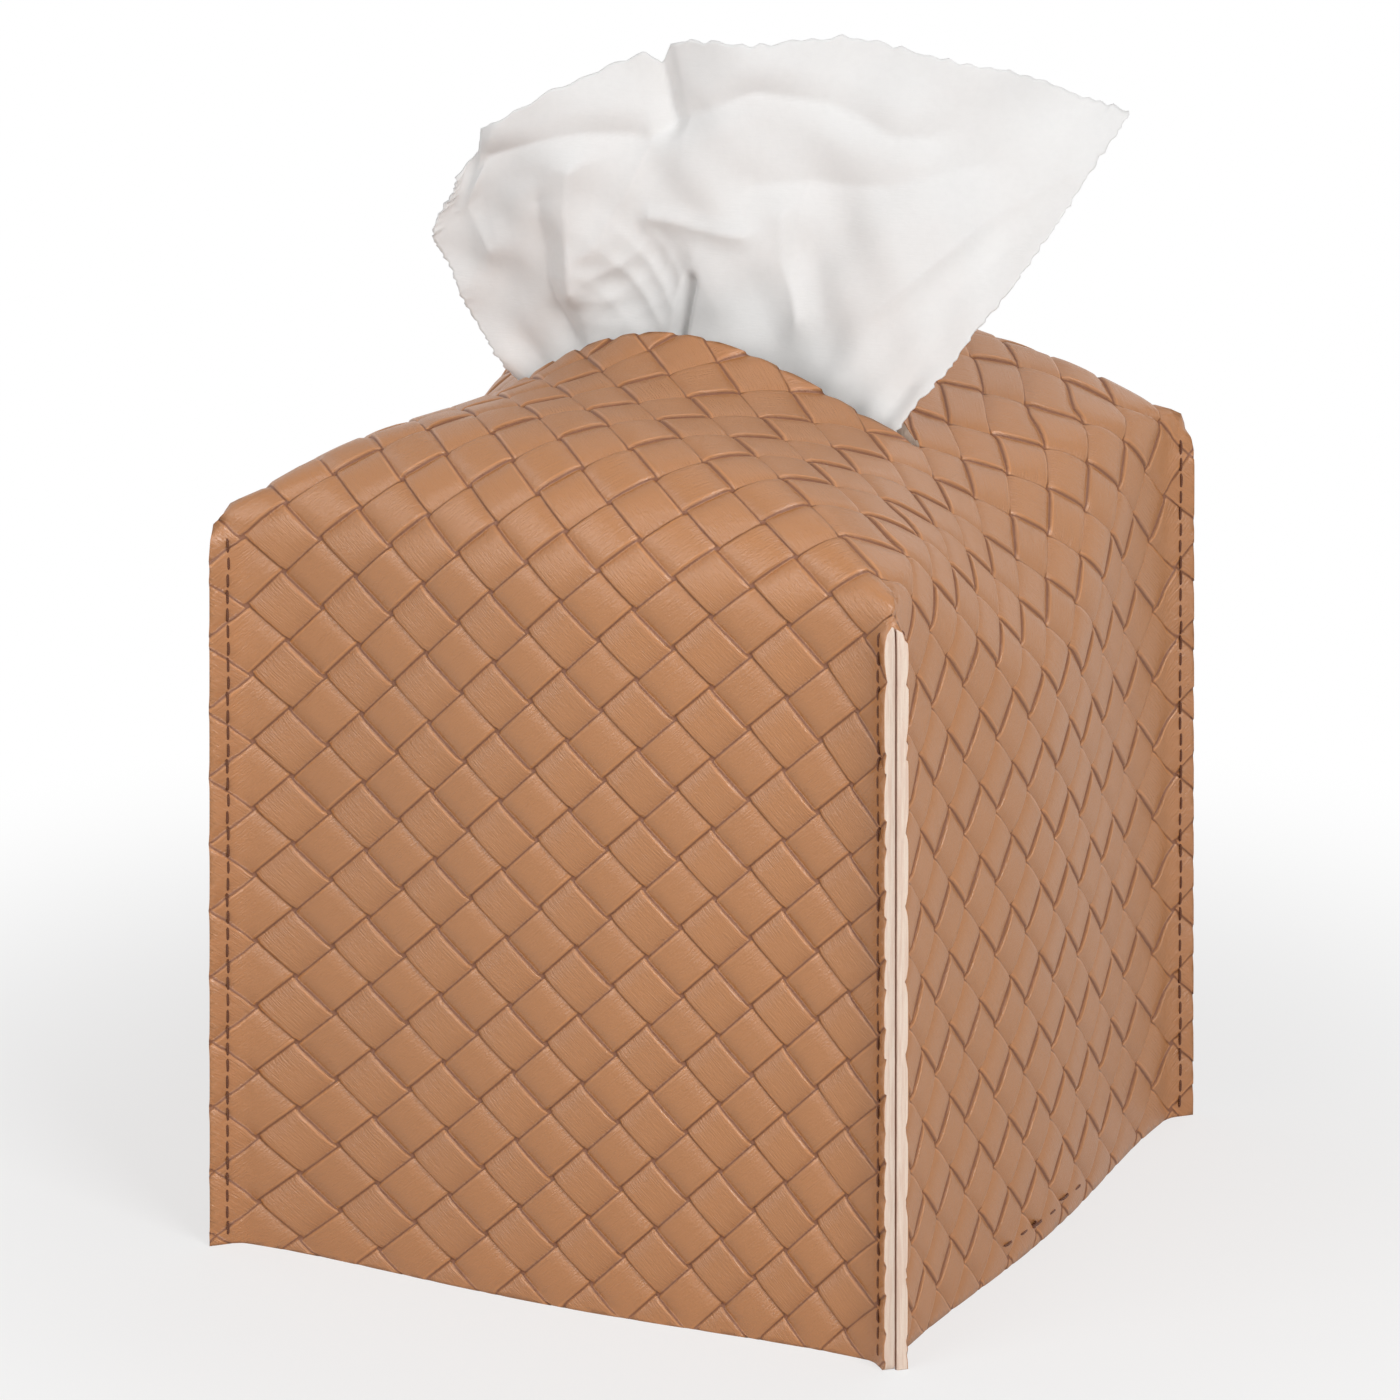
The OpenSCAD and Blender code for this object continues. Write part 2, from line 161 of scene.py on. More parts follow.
class TissueSizes(bpy.types.PropertyGroup):
    """The tissue that stands out of the slot."""
    spread: length("Spread", "Width of the tissue at its widest", 0.1066)
    rise: length("Rise", "Height of the tissue above the slot's ends", 0.064)
    sweep: length("Sweep", "Depth of the tissue from front to back", 0.044)
    neck_w: length("Neck width", "Width of the tissue in the slot", 0.068)
    tail_h: length("Tail", "Length of tissue below the slot's ends", 0.012)
    fold_h: length("Fold height", "Height of the main folds", 0.003)
    ply_t: length("Thickness", "Thickness of the two plies together", 0.0003)


class Colours(bpy.types.PropertyGroup):
    """The colours, as they look in plain light."""
    leather: colour("Leather", "Strips of the leather", 176, 115, 61)
    # Painted shade: this colour darkens the creases of the weave and the groove between a flange's two leathers
    crease: colour("Crease", "Creases between the strips", 112, 60, 27)
    cut_edge: colour("Cut edge", "Cut edges of the leather and its backing", 235, 215, 198)
    cut_layer: colour("Cut layers", "Layers that show in a cut edge", 216, 182, 162)
    backing: colour("Backing", "The leather's inside", 214, 200, 180)
    lining: colour("Lining", "Lining cloth", 226, 216, 198)
    thread: colour("Thread", "Sewing thread", 104, 60, 36)
    belt: colour("Belt", "Bottom belts", 158, 110, 78)
    hook: colour("Hook tape", "Hook tape", 78, 62, 54)
    loop: colour("Loop tape", "Loop tape", 92, 76, 68)
    tissue: colour("Tissue", "Tissue paper", 236, 235, 234)
    floor: colour("Floor", "Floor", 226, 226, 226)
    shadow_from: length("Shadow", "Distance from the middle up to which the floor shows its shadow", 0.10)
    shadow_to: length("White floor", "Distance from the middle at which the floor is plain white", 0.26)


class StageSettings(bpy.types.PropertyGroup):
    """Camera, lamps and floor."""
    azimuth: angle("Azimuth", "How far the camera stands to the right of the front", 25.426)
    pitch: angle("Pitch", "How far the camera looks down", 18.418)
    distance: length("Distance", "Distance of the camera from its aim", 1.3)
    aim_right: length("Aim right", "The aim's place across the view", -0.001754)
    aim_up: length("Aim up", "Height of the aim", 0.088509)
    focal_mm: strength("Focal length", "Focal length on a 36 mm sensor", 193.0)
    key: strength("Key lamp", "Power of the key lamp on the right", 8.0)
    front: strength("Front lamp", "Power of the front lamp", 5.9)
    left: strength("Left lamp", "Power of the weak lamp on the left", 1.4)
    back: strength("Back lamp", "Power of the weak lamp behind", 1.3)
    top: strength("Top lamp", "Power of the lamp above", 1.6)
    world: strength("World", "Strength of the light from all round", 0.16)


# Small helpers

HASH_STEPS, HASH_SCALE = (12.9898, 78.233, 37.719), 43758.5453
TINY = 1e-12


def clip01(v):
    """v held between 0 and 1."""
    return np.clip(v, 0.0, 1.0)


def smooth(t):
    """A soft step from 0 to 1."""
    t = clip01(t)
    return t * t * (3 - 2 * t)


def unit(v):
    """Vectors brought to length 1."""
    return v / np.maximum(np.linalg.norm(v, axis=-1, keepdims=True), TINY)


def hashed(*values):
    """The same pseudo-random number from 0 to 1 for the same whole numbers."""
    mixed = sum(np.asarray(v) * k for v, k in zip(values, HASH_STEPS))
    return np.modf(np.abs(np.sin(mixed) * HASH_SCALE))[0]


def uneven(*values):
    """The same pseudo-random number from -1 to 1 for the same whole numbers."""
    return 2 * hashed(*values) - 1


def outward(grid):
    """Directions square to a grid of points, to its outer side."""
    return unit(np.cross(np.gradient(grid, axis=1), np.gradient(grid, axis=0)))


def corners(node):
    """A CAD node's lowest and highest corner."""
    return (np.array(v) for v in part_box(node))


def grid_faces(rows, columns, around=False):
    """Faces of a grid of points that are numbered row by row, closed on itself if around."""
    r, c = np.meshgrid(np.arange(rows - 1), np.arange(columns if around else columns - 1), indexing="ij")
    n = (c + 1) % columns
    faces = np.stack([r * columns + c, r * columns + n, (r + 1) * columns + n, (r + 1) * columns + c], -1)
    return faces.reshape(-1, 4)


def as_list(faces):
    """Faces as plain lists."""
    return faces.tolist() if isinstance(faces, np.ndarray) else faces


def mesh_of(name, points, faces, uvs=None):
    """A smooth-shaded mesh from points and faces, with the points' uv places where given."""
    mesh = bpy.data.meshes.new(name)
    mesh.from_pydata(np.asarray(points).reshape(-1, 3).tolist(), [], as_list(faces))
    mesh.polygons.foreach_set("use_smooth", [True] * len(mesh.polygons))
    if uvs is not None:
        layer = mesh.uv_layers.new(name="weave")
        loops = np.empty(len(mesh.loops), dtype=np.int32)
        mesh.loops.foreach_get("vertex_index", loops)
        layer.data.foreach_set("uv", np.asarray(uvs).reshape(-1, 2)[loops].ravel())
    mesh.validate()
    mesh.update()
    return mesh


def merged(parts):
    """(points, faces) of several such pairs as one."""
    points, faces, start = [], [], 0
    for p, f in parts:
        p = np.asarray(p).reshape(-1, 3)
        points.append(p)
        faces.extend([k + start for k in face] for face in as_list(f))
        start += len(p)
    return np.concatenate(points), faces


def shell_of(outer, inner, rims):
    """(points, faces) of two grids of the same size, closed along lines of point numbers."""
    rows, columns = outer.shape[:2]
    count = rows * columns
    faces = grid_faces(rows, columns)
    walls = [np.stack([r[:-1], r[:-1] + count, r[1:] + count, r[1:]], -1) for r in rims]
    return (np.concatenate([outer.reshape(-1, 3), inner.reshape(-1, 3)]),
            np.concatenate([faces, faces[:, ::-1] + count] + walls))


def add_object(name, data):
    """A new object in the scene."""
    made = bpy.data.objects.new(name, data)
    bpy.context.scene.collection.objects.link(made)
    return made


def add_piece(name, mesh, materials, body, nodes, slot):
    """The mesh as a piece with its materials, which rides on a body and stands for CAD nodes; the slot is not
    used.
    """
    piece = add_object(name, mesh)
    for material in materials:
        mesh.materials.append(material)
    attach(piece, body)
    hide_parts(*nodes)
    return piece


def settings():
    """The scene's settings of the cover."""
    return bpy.context.scene.cover


# The leather's shape


class CoverShape:
    """The leather's smooth outer face: four sides from bottom edge to slot, joined on the diagonals."""

    half_columns, flange_columns = 30, 6
    crowding = 1.3                      # How much the columns crowd towards the crease, where the sheet turns
    wall_rows = (0, 0.08, 0.2, 0.35, 0.5, 0.65, 0.78, 0.88, 0.92, 0.94, 0.955, 0.967, 0.978, 0.99, 1)
    shoulder_rows, top_rows = 14, 26
    settle_rounds = 8                   # Rounds in which the walls' top edge settles under the top sheet
    lip_share = 0.96                    # Share of the slot's lip that ends a panel; the rest ends the flange
    crease_rounds, crease_share = 3, 0.25
    trim_front, trim_left = 0.4, -0.6   # How the slanted trim is shared by its two faces
    arc_steps = 200

    def __init__(self, sizes):
        self.s = sizes

    def half_at(self, z):
        """Distance of a panel from the centre at height z, without its bow."""
        return self.s.panel_w / 2 - self.s.lean * z / self.s.seam_h

    def bow_at(self, z):
        """How far a panel's middle bows out at height z."""
        return self.s.bow_low + (self.s.bow_high - self.s.bow_low) * z / self.s.seam_h

    def bowed(self, p):
        """Share of the bow at p, from a panel's middle to its crease."""
        return (1 - p ** 2) * (1 - (p / self.s.turn_share) ** 2)

    def face_at(self, y, z):
        """Distance of a panel's face from the centre, at y from its middle and height z."""
        return self.half_at(z) + self.bow_at(z) * self.bowed(abs(y) / self.crease_at(z))

    def crease_at(self, z):
        """Distance of the crease beside the flange from a panel's middle."""
        return self.half_at(z) - ROOT_2 * self.s.leather_t

    def nose_at(self, z):
        """Share of the flange's full thickness at height z, as its top end rounds off."""
        return np.sqrt(1 - (1 - clip01((self.s.seam_h - z) / self.s.nose_h)) ** 2)

    def opened(self, x):
        """Share of the slot's full opening at x."""
        return np.maximum(0, 1 - (2 * x / self.s.slot_l) ** 2)

    def lip_y(self, x):
        """Half the slot's opening at x."""
        return self.s.slot_w / 2 * self.opened(x)

    def top_z(self, x, y):
        """Height of the top sheet over the plan."""
        s = self.s
        beside = np.maximum(0, np.abs(y) - self.lip_y(x))
        lift = s.lip_lift * self.opened(x) ** 2 * np.exp(-beside / s.lip_fade)
        u = 2 * x / s.panel_w
        eased = 1 - s.ease_share * smooth(np.abs(y) / s.ease_w)
        return s.dome_h - s.side_drop * u ** 2 * eased - s.edge_drop * u ** 4 + lift

    def flange_width(self):
        """Width of the flange's outer face."""
        return self.s.flange_out + math.sqrt(0.5) * self.s.leather_t

    def wall(self, p, q, z, flanged, past=0.0):
        """(across, out) at height z. p runs from the middle to the crease, and q on to the cut edge."""
        s = self.s
        half, crease, nose = self.half_at(z), self.crease_at(z), self.nose_at(z)
        if flanged:
            side = s.leather_t * nose / ROOT_2
            tip = half + (s.flange_out + past) * (s.nose_reach + (1 - s.nose_reach) * nose) / ROOT_2
            corner_a, corner_o = crease + (tip - side - crease) * q, half + (tip + side - half) * q
        else:
            r, turn = half - crease, q * np.pi / 4
            corner_a, corner_o = crease + r * np.sin(turn), half - r + r * np.cos(turn)
        return (np.where(q > 0, corner_a, crease * p),
                np.where(q > 0, corner_o, half + self.bow_at(z) * self.bowed(p)))

    def past(self, side, hand):
        """How far the cut edges stand past the usual flange, as the front left one is trimmed at a slant."""
        if side == FRONT:
            return np.where(hand < 0, self.trim_front * self.s.trim, 0.0)
        return np.where(hand > 0, self.trim_left * self.s.trim, 0.0) if side == LEFT else 0.0

    @staticmethod
    def turned(side, across, out):
        """A place on a side, in plan."""
        return ((across, -out), (out, across), (-across, out), (-out, -across))[side]

    def columns(self):
        """(p, q, hand) of a side's columns, from its left cut edge to its right one as seen from outside."""
        n, m = self.half_columns, self.flange_columns
        p = np.concatenate([1 - (1 - np.arange(n + 1) / n) ** self.crowding, np.ones(m)])
        q = np.concatenate([np.zeros(n + 1), np.arange(1, m + 1) / m])
        hand = np.concatenate([-np.ones(len(p) - 1), np.ones(len(p))])
        return np.concatenate([p[:0:-1], p]), np.concatenate([q[:0:-1], q]), hand

    def lip_line(self, lip, ends_on):
        """(across, out) of a side's line along the slot, for shares of that line."""
        s = self.s
        turn_x, end_x = s.slot_l / 2 * s.end_share, s.slot_l / 2
        if ends_on:
            return turn_x * lip, self.lip_y(turn_x * lip)
        return self.lip_y(turn_x) * lip, turn_x + (end_x - turn_x) * (1 - lip ** 2)

    def side_grid(self, side, flanged=True, low=0.0):
        """Points of one side as (rows, columns, 3), from the bottom edge up to the slot's lip."""
        s = self.s
        p, q, hand = self.columns()
        past = self.past(side, hand)
        lip = np.where(q > 0, self.lip_share + (1 - self.lip_share) * q, self.lip_share * p)
        ends_on = side in (FRONT, BACK)
        soft = 1 - lip ** 3
        depth = s.corner_round + ((s.front_round if ends_on else s.side_round) - s.corner_round) * soft
        fall = s.corner_round + ((s.front_fall if ends_on else s.side_fall) - s.corner_round) * soft
        top = np.full(len(p), s.seam_h)
        for _ in range(self.settle_rounds):
            across, out = self.wall(p, q, top, False)
            x, y = self.turned(side, across * hand, out)
            top = self.top_z(x, y) - fall
        across, out = self.wall(p, q, top, False)
        # Above the flange's top end its ridge fades into the shoulder
        edges = self.wall(p, q, np.minimum(top, s.seam_h), True, past)
        ridge_a, ridge_o = (e - bare if flanged else 0 * bare for e, bare in zip(edges, (across, out)))
        lip_a, lip_o = self.lip_line(lip, ends_on)
        d = np.hypot(lip_a - across, lip_o - out)
        step_a, step_o = (lip_a - across) / d, (lip_o - out) / d
        rows = []
        for part in self.wall_rows:
            z = low + (top - low) * part
            wall_a, wall_o = self.wall(p, q, z, flanged, past)
            x, y = self.turned(side, wall_a * hand, wall_o)
            rows.append(np.stack([x, y, z], -1))
        for k in range(1, self.shoulder_rows + self.top_rows + 1):
            turn = math.pi / 2 * min(1, k / self.shoulder_rows)
            beyond = max(0, k - self.shoulder_rows) / self.top_rows
            reach = depth * (1 - math.cos(turn)) + (d - depth) * beyond
            on_a, on_o = across + step_a * reach, out + step_o * reach
            x, y = self.turned(side, on_a * hand, on_o)
            z = self.top_z(x, y) - fall * (1 - math.sin(turn))
            left = 1 - smooth(np.hypot(reach, z - top) / s.ridge_l)
            x, y = self.turned(side, (on_a + ridge_a * left) * hand, on_o + ridge_o * left)
            rows.append(np.stack([x, y, z], -1))
        grid = np.array(rows)
        return self.softened(grid) if flanged else grid

    def softened(self, grid):
        """The grid with the crease beside each flange a little rounded."""
        walls = len(self.wall_rows)
        for _ in range(self.crease_rounds):
            inner = grid[:walls, 1:-1]
            bend = grid[:walls, :-2] + grid[:walls, 2:] - 2 * inner
            grid[:walls, 1:-1] = inner + self.crease_share * bend
        return grid

    def laid_flat(self, side, grid, normal):
        """The side's points on the flat sheet, measured along the leather from the slot outwards."""
        s = self.s
        ends_on = side in (FRONT, BACK)
        ref = ACROSS if ends_on else DEEP
        x_line = np.linspace(0, s.slot_l / 2, self.arc_steps)
        z_line = s.dome_h - s.side_drop * (2 * x_line / s.panel_w) ** 2
        arc = np.concatenate([[0], np.cumsum(np.hypot(np.diff(x_line), np.diff(z_line)))])
        x, y = grid[-1, :, 0], grid[-1, :, 1]
        # The slot is a straight slit in the flat leather
        slit = self.lip_y(s.slot_l / 2 * s.end_share)
        flat = np.zeros(grid.shape[:2] + (2,))
        flat[-1] = np.stack([np.sign(x) * np.interp(np.abs(x), x_line, arc), np.clip(y, -slit, slit)], -1)
        for v in range(len(grid) - 2, -1, -1):
            step = grid[v] - grid[v + 1]
            n = unit(normal[v] + normal[v + 1])
            along = unit(ref - (n @ ref)[:, None] * n)
            other = np.cross(n, along) if ends_on else np.cross(along, n)
            moved = np.stack([(step * along).sum(-1), (step * other).sum(-1)], -1)
            flat[v] = flat[v + 1] + (moved if ends_on else moved[:, ::-1])
        return flat


def share_edges(outs, start=0):
    """Gives neighbouring sides the same directions where they meet, from a row up."""
    for side in SIDES:
        after = (side + 1) % 4
        both = unit(outs[side][start:, -1] + outs[after][start:, 0])
        outs[side][start:, -1], outs[after][start:, 0] = both, both


class WovenSheet:
    """Finds the place in space of any spot of the weave, which is laid out flat in strips (a, b)."""

    # The weave as photographed on the front and right panels: its start and repeats, the slope of its rows,
    # and how far the dished middle shifts it, at the bottom edge and per metre of height
    front_start, front_repeat, front_slope = (0.361, -6.758), (0.01303, 0.01193), 0.021
    front_across, front_up = (0.00675, -0.042), (0.0018, 0.0098)
    right_start, right_repeat, right_slope = (7.982, 0.873), (0.0128, 0.01177), 0.03
    right_across, right_up = -0.0062, 0.0026
    dish_half = 0.056
    # Distances over which the fit to a panel fades over the top, and that to a neighbour down a wall
    fade_up, fade_down = 0.045, 0.030
    near_power = 2.5
    lip_zone, lip_fade, lip_least = 0.008, 0.006, 0.5
    flat_least = 1e-16                  # Least area of a triangle of the flat sheet that is divided by

    def __init__(self, shape, weave):
        self.shape, self.w = shape, weave
        self.grids = [shape.side_grid(side) for side in SIDES]
        self.normal = [outward(g) for g in self.grids]
        self.tops = len(shape.wall_rows) - 1
        share_edges(self.normal, self.tops)
        self.place_weave()
        self.build_tree()

    def wall_weave(self, side, across, z, natural):
        """(U, V) repeats of the weave on a wall, as photographed on the front and right panels."""
        w = clip01(1 - (across / self.dish_half) ** 2)
        if side == FRONT:
            (start_u, start_v), (repeat_u, repeat_v) = self.front_start, self.front_repeat
            (shift_u, grow_u), (shift_v, grow_v) = self.front_across, self.front_up
            u = start_u + (across - (shift_u + grow_u * z) * w) / repeat_u
            v = start_v + (z - (shift_v + grow_v * z) * w - self.front_slope * across) / repeat_v
        elif side == RIGHT:
            (start_u, start_v), (repeat_u, repeat_v) = self.right_start, self.right_repeat
            u = start_u - (z - self.right_up * w - self.right_slope * across) / repeat_u
            v = start_v + (across - self.right_across * w) / repeat_v
        elif side == BACK:
            u = self.front_start[0] - across / self.w.repeat_x
            v = -z / self.w.repeat_y
        else:
            u = z / self.w.repeat_x
            v = self.right_start[1] - across / self.w.repeat_y
        place = np.stack([u, v], -1)
        shift = (natural - place)[self.tops, place.shape[1] // 2]
        return place + (shift if side in (BACK, LEFT) else np.round(shift))

    def place_weave(self):
        """Works out the repeats (U, V) at every point of the four sides."""
        shape, w = self.shape, self.w
        p, q, hand = shape.columns()
        laid = [shape.laid_flat(side, g, n) for side, g, n in zip(SIDES, self.grids, self.normal)]
        middle = len(p) // 2
        top_z = self.grids[FRONT][self.tops, middle, 2]
        base = laid[FRONT][self.tops, middle, 1]
        # The middle of the front panel's top edge sets where the whole sheet's weave lies
        start_u, start_v = self.front_start
        shift_v, grow_v = self.front_up
        v0 = start_v + (top_z * (1 - grow_v) - shift_v) / self.front_repeat[1] - base / w.repeat_y
        self.slit = (start_u * w.repeat_x, v0 * w.repeat_y)
        self.places = []
        for side in SIDES:
            natural = laid[side] / (w.repeat_x, w.repeat_y) + (start_u, v0)
            grid = self.grids[side][:self.tops + 1]
            z = grid[..., 2]
            across = hand * (shape.crease_at(z) * p + shape.flange_width() * q)
            wall = self.wall_weave(side, across, z, natural[:self.tops + 1])
            shift = wall - natural[:self.tops + 1]
            up = np.cumsum(np.linalg.norm(np.diff(self.grids[side][self.tops:], axis=0), axis=-1), axis=0)
            fade = 1 - smooth(up / self.fade_up)
            place = natural.copy()
            place[:self.tops + 1] = wall
            place[self.tops + 1:] += shift[-1] * fade[..., None]
            self.places.append(place)
        self.join_weave(hand, middle)

    def join_weave(self, hand, middle):
        """Brings two sides' weave together where they meet, less and less towards the sides' middles."""
        tops = self.tops
        for side in SIDES:
            after = (side + 1) % 4
            both = (self.places[side][tops:, -1] + self.places[after][tops:, 0]) / 2
            for k, column, own in ((side, -1, hand > 0), (after, 0, hand < 0)):
                grid, place = self.grids[k], self.places[k]
                run = np.linalg.norm(np.diff(grid[tops:], axis=1), axis=-1).cumsum(1)
                run = np.abs(np.pad(run, ((0, 0), (1, 0))) - run[:, middle - 1:middle])
                near = np.where(own, (run / run[:, column][:, None]) ** self.near_power, 0)[..., None]
                gap = both - place[tops:, column]
                place[tops:] += gap[:, None] * near
                left = 1 - smooth((grid[tops, :, 2] - grid[:tops, :, 2]) / self.fade_down)
                place[:tops] += gap[0] * near[0] * left[..., None]

    def away_from_slot(self, a, b):
        """1 in the open sheet, and less at the slot's lips, where it is cut."""
        x = np.abs((a + b) / 2 * self.w.repeat_x - self.slit[0]) - self.shape.s.slot_l / 2
        y = (b - a) / 2 * self.w.repeat_y - self.slit[1]
        off = (np.hypot(np.maximum(x, 0), y) - self.lip_zone) / self.lip_fade
        return self.lip_least + (1 - self.lip_least) * smooth(off)

    def build_tree(self):
        """Lays all four sides flat in one tree of triangles."""
        _, q, _ = self.shape.columns()
        rows, columns = self.grids[0].shape[:2]
        on_wall = np.arange(rows)[:, None] <= self.tops
        edge = np.where(on_wall, q, 0)
        quads = grid_faces(rows, columns)
        count = rows * columns
        faces = np.concatenate([quads + side * count for side in SIDES])
        self.triangles = np.concatenate([faces[:, [0, 1, 2]], faces[:, [0, 2, 3]]])
        place = np.concatenate([x.reshape(-1, 2) for x in self.places])
        self.place = place * (self.w.repeat_x, self.w.repeat_y)
        self.point = np.concatenate([x.reshape(-1, 3) for x in self.grids])
        self.out = np.concatenate([x.reshape(-1, 3) for x in self.normal])
        self.edge = np.tile(edge.ravel(), 4)
        flat = np.c_[self.place, np.zeros(len(self.place))]
        self.tree = BVHTree.FromPolygons(flat.tolist(), self.triangles.tolist())

    def spots(self, a, b):
        """Points, outward directions, flange shares, whether on the sheet, and the nearest (a, b) on it."""
        x, y = (a + b) / 2 * self.w.repeat_x, (b - a) / 2 * self.w.repeat_y
        down = Vector((0, 0, -1))
        index = np.empty(len(x), dtype=np.int64)
        inside = np.ones(len(x), dtype=bool)
        flat = np.stack([x, y], -1)
        for i, (fx, fy) in enumerate(flat.tolist()):
            hit = self.tree.ray_cast(Vector((fx, fy, 1)), down)
            if hit[0] is None:
                hit = self.tree.find_nearest(Vector((fx, fy, 0)))
                inside[i] = False
                flat[i] = hit[0][:2]
            index[i] = hit[2]
        corner = self.triangles[index]
        t0, t1, t2 = (self.place[corner[:, k]] for k in range(3))
        e1, e2, e = t1 - t0, t2 - t0, flat - t0
        area = e1[:, 0] * e2[:, 1] - e1[:, 1] * e2[:, 0]
        area = np.where(np.abs(area) < self.flat_least, self.flat_least, area)
        s1 = clip01((e[:, 0] * e2[:, 1] - e[:, 1] * e2[:, 0]) / area)
        s2 = clip01((e1[:, 0] * e[:, 1] - e1[:, 1] * e[:, 0]) / area)
        weights = np.stack([1 - s1 - s2, s1, s2], -1)[..., None]
        point = (self.point[corner] * weights).sum(1)
        out = unit((self.out[corner] * weights).sum(1))
        edge = (self.edge[corner] * weights[..., 0]).sum(1)
        u, v = flat[:, 0] / self.w.repeat_x, flat[:, 1] / self.w.repeat_y
        return point, out, edge, inside, u - v, u + v


class Leather:
    """The embossed leather as one mesh: its woven face, its cut edges and its inside."""

    # Lines of the mesh across one strip: a close pair on each crease makes the step from strip to strip
    lines = (-0.014, 0.014, 0.06, 0.15, 0.32, 0.5, 0.68, 0.85, 0.94)
    # Shares of a strip over which its sides roll off and the holes open, and how much it twists for its tilt
    roll_share, hole_end, hole_side, twist = 0.07, 0.05, 0.08, 2.0
    # On the flanges and at the sheet's edges the creases' step is small and soft, so the cut edge stays whole
    flange_from, edge_narrow, edge_step = 0.3, 0.5, 4.0
    # How much the seams, the flanges and the hem press the relief down, and over which distances
    press, press_w = 0.75, 0.0016
    flange_press, flange_soft = 0.4, 0.5
    hem_press, hem_h = 0.8, 0.004
    # Where the two leathers of a flange come together, the groove between them and the bevels of a cut edge
    join_from, join_soft, groove_d = 0.8, 0.15, 0.0005
    bevels = (0.06, 0.84)
    FACE, EDGE, BACKING = range(3)

    def __init__(self, sizes, weave):
        self.s, self.w = sizes, weave
        self.shape = CoverShape(sizes)
        self.sheet = WovenSheet(self.shape, weave)

    def relief(self, a, b):
        """Height of the embossing over the sheet."""
        w = self.w
        i, j = np.floor(a), np.floor(b)
        fa, fb = a - i - 0.5, b - j - 0.5
        over_b = np.mod(i + j, 2) > 0.5
        along, across = np.where(over_b, fb, fa), np.where(over_b, fa, fb)
        end, side = 0.5 - np.abs(along), 0.5 - np.abs(across)
        h = w.crown * (1 - (2 * along) ** 2) - w.dip * (1 - smooth(end / w.bend_share))
        h -= w.roll * (1 - smooth(side / self.roll_share))
        h -= w.hole * smooth(1 - end / self.hole_end) * smooth(1 - side / self.hole_side)
        # Each strip lies a little differently
        turned = uneven(i, j, 2) * along + uneven(i, j, 3) * across
        return h + w.tilt * (uneven(i, j, 1) + self.twist * turned)

    def marks(self, values):
        """Mesh lines over the whole range of values."""
        units = np.arange(math.floor(values.min()) - 1, math.ceil(values.max()) + 2)
        return (units[:, None] + np.array(self.lines)).ravel()

    def stepped(self, a, b, at_edge):
        """(a, b) moved so that each strip is narrower than the pitch and the creases step sideways."""
        narrow = self.w.narrow * self.sheet.away_from_slot(a, b) * np.where(at_edge, self.edge_narrow, 1.0)
        step = np.where(at_edge, self.edge_step, 1 / math.sin(math.pi * self.lines[1]))
        turn_a, turn_b = np.pi * a, np.pi * b
        return (a - narrow * np.clip(step * np.sin(turn_b), -1, 1) * np.cos(turn_a),
                b + narrow * np.clip(step * np.sin(turn_a), -1, 1) * np.cos(turn_b))

    def build(self):
        """The whole mesh."""
        flat = self.sheet.place / (self.w.repeat_x, self.w.repeat_y)
        a, b = self.marks(flat[:, 0] - flat[:, 1]), self.marks(flat[:, 0] + flat[:, 1])
        grid_a, grid_b = (g.ravel() for g in np.meshgrid(a, b, indexing="ij"))
        _, _, edge, inside, _, _ = self.sheet.spots(grid_a, grid_b)
        at_edge = (edge > self.flange_from) | ~inside
        point, out, edge, inside, on_a, on_b = self.sheet.spots(*self.stepped(grid_a, grid_b, at_edge))
        faces = grid_faces(len(a), len(b))
        faces = faces[inside[faces].any(1)]
        used, faces = np.unique(faces, return_inverse=True)
        faces = faces.reshape(-1, 4)
        point, out, edge = point[used], out[used], edge[used]
        # A vertex moved onto the sheet's edge takes the edge's place in the weave
        snapped = ~inside[used]
        strip_a = np.where(snapped, on_a[used], grid_a[used])
        strip_b = np.where(snapped, on_b[used], grid_b[used])
        height = self.relief(strip_a, strip_b) * self.held_down(point, edge)
        face_point = point + out * height[:, None]
        return self.shell(point, out, edge, face_point, faces, np.stack([strip_a, strip_b], -1))

    def held_down(self, point, edge):
        """Share of the relief that is left where the seams press the leather flat."""
        x, y, z = point.T
        near = np.abs(np.minimum(np.abs(x), np.abs(y)) - self.shape.crease_at(z))
        pressed = np.exp(-(near / self.press_w) ** 2) * (z < self.s.seam_h)
        hem = 1 - smooth(z / self.hem_h)
        flange = smooth(edge / self.flange_soft)
        return (1 - self.press * pressed) * (1 - self.flange_press * flange) * (1 - self.hem_press * hem)

    def inner_skin(self, point, out, edge):
        """Where the leather's inside lies, which meets its mate in a flange, and the groove's shift there."""
        s = self.s
        corner = np.sign(point[:, :2]) / ROOT_2
        on_plane = point.copy()
        on_plane[:, :2] = corner * (point[:, :2] * corner).sum(1)[:, None]
        flange = smooth((edge - self.join_from) / self.join_soft)[:, None]
        front_left = (point[:, 0] < 0) & (point[:, 1] < 0)
        slanted = np.where(front_left, np.sign(np.abs(point[:, 0]) - np.abs(point[:, 1])), 0)
        on_plane[:, :2] += corner * (slanted * s.trim / 2)[:, None]
        inner = (point - out * s.leather_t) * (1 - flange) + on_plane * flange
        return inner, np.c_[-corner, np.zeros(len(point))] * (self.groove_d * flange)

    def shell(self, point, out, edge, face_point, faces, strips):
        """Adds the cut edges and the inside to the woven face."""
        inner, groove = self.inner_skin(point, out, edge)
        mesh = mesh_of("woven_leather", face_point, faces, strips)
        made = bmesh.new()
        made.from_mesh(mesh)
        made.verts.ensure_lookup_table()
        made.normal_update()
        uv = made.loops.layers.uv["weave"]
        rim_of = {}

